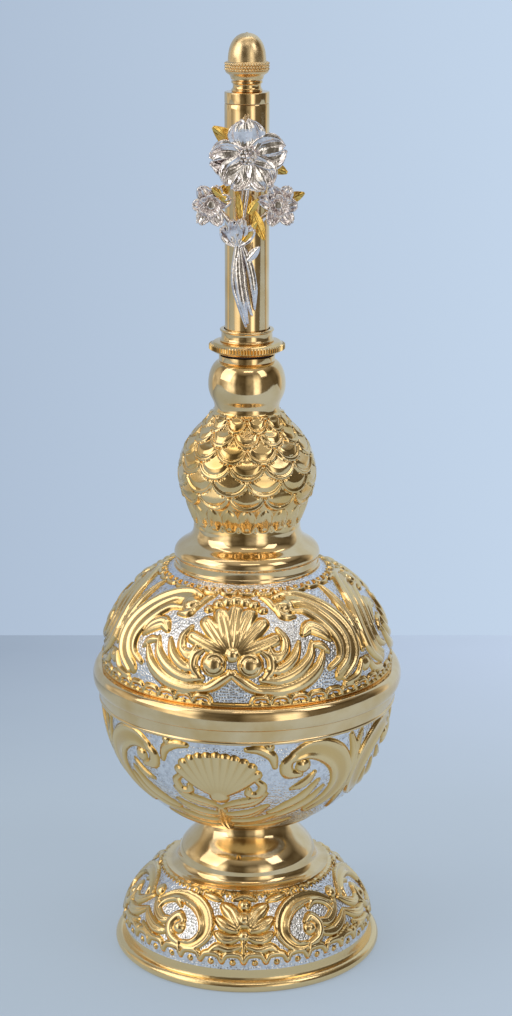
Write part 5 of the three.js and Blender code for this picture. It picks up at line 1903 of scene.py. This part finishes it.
    def buds(self) -> list[Piece]:
        """The small gilt buds between the blossoms."""
        front = self.side(-1)[1]
        places = ((Leaf(0.0, 6.8, 2.7, 1.4), 140, (-4.8, front - 1.5, self.top - 30.4)),
                  (Leaf(0.0, 8.6, 2.0, 0.8), 96, (-1.8, front - 0.6, self.top - 35.6)),
                  (Leaf(0.0, 5.4, 2.5, 1.2), 58, (0.4, front - 1.0, self.top - 33.8)),
                  (Leaf(0.0, 7.2, 2.4, 1.2), 55, (-1.2, front - 1.1, self.top - 41.6)))
        return [set_facing(leaf.build(), degrees, centre) for leaf, degrees, centre in places]

    def on_tube(self, x: float, z: float, radius: float) -> tuple[float, float, float, float]:
        """A point of a twig that lies against the tube's front."""
        reach = self.tube_radius + self.gap + radius
        return (x, -math.sqrt(reach * reach - x * x), z, radius)

    def build_twigs(self, metals: Metals) -> None:
        """The bundle of twigs that forks to the three blossoms."""
        fork = self.side(-1)[2] - self.fork_drop
        tip = level("spout_collar")[1] + self.gap
        run = fork - tip
        r = self.twig_radius
        wide = self.tube_radius
        back = self.main[1] + self.main_boss[1] + self.gap + r
        side_back = self.side(-1)[1] + self.side_boss[1] + self.gap + 0.8 * r
        at = self.on_tube
        lines = [
            [at(-0.03 * wide, tip + 0.04 * run, 0.4 * r), at(-0.31 * wide, tip + 0.32 * run, r),
             at(-0.55 * wide, tip + 0.56 * run, r), at(-0.4 * wide, fork, r),
             (-0.06 * wide, back + 0.5 * r, fork + 0.6 * (self.main[2] - fork), r),
             (self.main[0], back, self.main[2], r)],
            [at(0.22 * wide, tip + 0.18 * run, 0.4 * r), at(-0.06 * wide, tip + 0.44 * run, 0.9 * r),
             at(-0.18 * wide, tip + 0.68 * run, 0.9 * r), at(-0.34 * wide, fork, 0.9 * r)],
            [at(0.34 * wide, tip + 0.24 * run, 0.3 * r), at(0.3 * wide, tip + 0.5 * run, 1.1 * r),
             at(0.12 * wide, tip + 0.76 * run, 1.1 * r), at(-0.2 * wide, fork, 0.8 * r)],
            [at(0.04 * wide, tip + 0.08 * run, 0.4 * r), at(-0.2 * wide, tip + 0.36 * run, 1.3 * r),
             at(-0.36 * wide, tip + 0.62 * run, 1.35 * r), at(-0.4 * wide, tip + 0.86 * run, 1.0 * r)],
        ]
        for sign in (-1, 1):
            x, _, z = self.side(sign)
            lines.append([at(-0.4 * wide, fork, r),
                          (-0.83 * wide if sign < 0 else 0.55 * wide, side_back + 0.2 * r,
                           fork + 0.58 * self.fork_drop, 0.9 * r), (x, side_back, z, 0.8 * r)])
        parts = [wire(f"twig_{i}", line) for i, line in enumerate(lines)]
        bell = (-2.9, self.side(-1)[1] - 0.4, self.top - self.bell_drop)
        parts += self.petals(bell, self.bell_petals, self.bell_length, self.side_width, 0.3, 33)
        parts.append(set_facing(Leaf(0.0, 5.6, 2.6, 1.0).build(), 52,
                                (0.2, -self.tube_radius - 2.2, self.top - self.bell_drop - 4.6)))
        twigs = settle(joined(parts, "spray_twigs"), "spray_twigs")
        dress(twigs, metals.silvered, "silvered", "spout", "flower_stem")


# Studio


@dataclass(frozen=True)
class Lamp:
    """One soft box."""

    name: str
    place: tuple[float, float, float]  # metres
    aim: tuple[float, float, float]
    size: tuple[float, float]
    radiance: float  # 1 shows as white
    colour: str = "#FFFFFF"

    def build(self) -> None:
        """Hangs the lamp and turns it to its aim."""
        data = bpy.data.lights.new(self.name, "AREA")
        data.shape = "RECTANGLE"
        data.size, data.size_y = self.size
        data.energy = self.radiance * math.pi * self.size[0] * self.size[1]
        data.color = linear(self.colour)[:3]
        lamp = bpy.data.objects.new(self.name, data)
        bpy.context.scene.collection.objects.link(lamp)
        lamp.location = self.place
        lamp.rotation_euler = (Vector(self.aim) - Vector(self.place)).to_track_quat("-Z", "Y").to_euler()
        log.info("%-22s soft box, %.1f W", self.name, data.energy)


@dataclass
class Studio:
    """Table, lamps, room and camera."""

    table_edge: float = 0.30  # metres behind the flask's axis
    table_front: float = -0.36  # where the table ends before it
    table_width: float = 4.0
    wall_from: float = 121.0  # degrees from the camera's side at which the pale wall behind begins
    wall_blend: float = 6.0
    # Painted light and shade on the wall behind: darker on the left, paler on the right
    wall_left: str = "#A5B5CA"
    wall_right: str = "#C3D5EA"
    room_dark: str = "#2C2411"
    room_light: str = "#FFFBEE"
    mirrored: float = 1.5  # how bright the room is in the metal
    plain: str = "#ECEFF4"
    plain_light: float = 0.76  # how bright it is on what is matt
    camera_place: tuple[float, float, float] = (0.0, -0.70577, 0.33231)
    camera_pitch: float = 15.3
    lens: float = 86.46
    shift_x: float = 0.00886
    # How light the walls are, by bearing in degrees from the camera's side, and by the sine of the height
    walls: tuple[Point, ...] = ((-180, 0.45), (-118, 0.5), (-98, 0.42), (-84, 0.2), (-72, 0.4), (-60, 1.0),
                                (-42, 1.0), (-33, 0.1), (-6, 0.04), (4, 0.2), (18, 0.26), (24, 1.0),
                                (37, 1.0), (45, 0.1), (76, 0.05), (104, 0.05), (118, 0.35), (130, 0.5),
                                (180, 0.45))
    heights: tuple[Point, ...] = ((-1.0, 0.35), (-0.6, 0.45), (-0.42, 0.9), (-0.1, 1.0), (0.35, 0.9),
                                  (0.6, 0.3), (1.0, 0.1))
    lamps: tuple[Lamp, ...] = (
        Lamp("soft_box_left", (-0.95, -0.35, 0.75), (0.0, 0.0, 0.12), (0.8, 0.9), 1.3),
        Lamp("soft_box_right", (0.85, -0.55, 0.95), (0.0, 0.0, 0.12), (0.45, 0.6), 1.7),
        Lamp("strip_above_left", (-0.32, -0.05, 1.2), (0.0, 0.0, 0.1), (0.10, 1.1), 1.7, "#FFF6EA"),
        Lamp("strip_above_right", (0.30, 0.12, 1.2), (0.0, 0.0, 0.1), (0.08, 0.9), 2.2, "#FFF6EA"),
        Lamp("strip_above_camera", (0.08, -0.7, 1.15), (0.0, 0.0, 0.1), (0.5, 0.12), 2.2, "#FFF6EA"),
    )

    def build(self) -> None:
        """Sets up the whole studio."""
        self.build_paper()
        self.build_room()
        for lamp in self.lamps:
            lamp.build()
        self.build_camera()

    def build_paper(self) -> None:
        """The paper that the flask stands on."""
        deselect()
        bpy.ops.mesh.primitive_plane_add(size=1.0, location=(0.0, 0.0, 0.0))
        floor = bpy.context.active_object
        editing(floor)
        deep = self.table_edge - self.table_front
        bpy.ops.transform.resize(value=(self.table_width, deep, 1.0))
        bpy.ops.transform.translate(value=(0.0, self.table_edge - deep / 2, -0.02 * MM))
        settle(floor, "studio_floor")
        floor.data.materials.append(FloorPaper().material())
        log.info("floor set")

    def build_room(self) -> None:
        """The pale wall behind the flask, and the windows and dark walls that its metal mirrors."""
        world = bpy.data.worlds.new("studio_room")
        bpy.context.scene.world = world
        world.use_nodes = True
        tree = world.node_tree
        tree.nodes.clear()
        place = node(tree, "TexCoord")
        axis = node(tree, "SeparateXYZ", links={0: place.outputs["Generated"]})
        forward = node(tree, "Math", {"operation": "MULTIPLY"}, {1: -1.0}, {0: axis.outputs["Y"]})
        bearing = node(tree, "Math", {"operation": "ARCTAN2"}, links={
            0: axis.outputs["X"], 1: forward.outputs[0]})
        round_ = node(tree, "MapRange", values={1: -math.pi, 2: math.pi}, links={0: bearing.outputs[0]})
        walls = node(tree, "ValToRGB", links={0: round_.outputs[0]},
                     stops=[((degrees + 180) / 360, light) for degrees, light in self.walls]).outputs[0]
        height = node(tree, "MapRange", values={1: -1.0, 2: 1.0}, links={0: axis.outputs["Z"]})
        tall = node(tree, "ValToRGB", links={0: height.outputs[0]},
                    stops=[((rise + 1) / 2, light) for rise, light in self.heights]).outputs[0]
        blotch = node(tree, "TexNoise", values={"Scale": 2.6, "Detail": 3.0},
                      links={"Vector": place.outputs["Generated"]})
        uneven = node(tree, "MapRange", values={1: 0.3, 2: 0.7, 3: 0.45, 4: 1.25},
                      links={0: blotch.outputs["Fac"]})
        patchy = node(tree, "Math", {"operation": "MULTIPLY"}, links={0: walls, 1: uneven.outputs[0]})
        bright = node(tree, "Math", {"operation": "MULTIPLY"}, links={0: patchy.outputs[0], 1: tall})
        above = node(tree, "MapRange", values={1: 0.5, 2: 0.9, 3: 0.0, 4: 0.3}, links={0: axis.outputs["Z"]})
        total = node(tree, "Math", {"operation": "MAXIMUM"},
                     links={0: bright.outputs[0], 1: above.outputs[0]})
        room = node(tree, "Mix", {"data_type": "RGBA"},
                    {6: linear(self.room_dark), 7: linear(self.room_light)},
                    {0: total.outputs[0]})
        # Painted light and shade: the wall behind darkens to the left and pales to the right
        across = node(tree, "MapRange", values={1: -0.19, 2: 0.13}, links={0: axis.outputs["X"]})
        drift = node(tree, "Math", {"operation": "MULTIPLY_ADD"}, {1: 0.1}, {0: blotch.outputs["Fac"],
                                                                           2: across.outputs[0]})
        wall = node(tree, "Mix", {"data_type": "RGBA"},
                    {6: linear(self.wall_left), 7: linear(self.wall_right)},
                    {0: drift.outputs[0]})
        side = node(tree, "Math", {"operation": "ABSOLUTE"}, links={0: bearing.outputs[0]})
        wall_from, wall_to = (math.radians(self.wall_from + more) for more in (0.0, self.wall_blend))
        behind = node(tree, "MapRange", values={1: wall_from, 2: wall_to}, links={0: side.outputs[0]})
        plain = node(tree, "Background", values={"Color": linear(self.plain), "Strength": self.plain_light})
        front = node(tree, "Background", values={"Strength": self.mirrored}, links={"Color": room.outputs[2]})
        seen = node(tree, "Background", values={"Strength": 1.0}, links={"Color": wall.outputs[2]})
        in_metal = node(tree, "MixShader",
                        links={0: behind.outputs[0], 1: front.outputs[0], 2: seen.outputs[0]})
        ray = node(tree, "LightPath")
        glossy = node(tree, "MixShader", links={0: ray.outputs["Is Glossy Ray"], 1: plain.outputs[0],
                                                2: in_metal.outputs[0]})
        clear = node(tree, "Math", {"operation": "MAXIMUM"}, links={
            0: ray.outputs["Is Camera Ray"], 1: ray.outputs["Is Transmission Ray"]})
        mixed = node(tree, "MixShader", links={0: clear.outputs[0], 1: glossy.outputs[0], 2: seen.outputs[0]})
        out = node(tree, "OutputWorld")
        tree.links.new(mixed.outputs[0], out.inputs["Surface"])

    def build_camera(self) -> None:
        """The camera at the photograph's height and pitch."""
        data = bpy.data.cameras.new("camera")
        data.sensor_fit = "AUTO"
        data.sensor_width = 36.0
        data.lens = self.lens
        data.shift_x = self.shift_x
        data.clip_start = 0.01
        camera = bpy.data.objects.new("camera", data)
        bpy.context.scene.collection.objects.link(camera)
        camera.location = self.camera_place
        camera.rotation_euler = (math.radians(90.0 - self.camera_pitch), 0.0, 0.0)
        bpy.context.scene.camera = camera


def main() -> None:
    logging.basicConfig(level=logging.INFO, format="%(name)s: %(message)s")
    bpy.context.scene.view_settings.view_transform = "Standard"
    metals = Metals()
    Foot().build(metals)
    Stem().build(metals)
    Body().build(metals)
    Neck().build(metals)
    Spout().build(metals)
    Cap().build(metals)
    Spray().build(metals)
    Studio().build()
    deselect()
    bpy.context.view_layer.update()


if __name__ == "__main__":
    main()
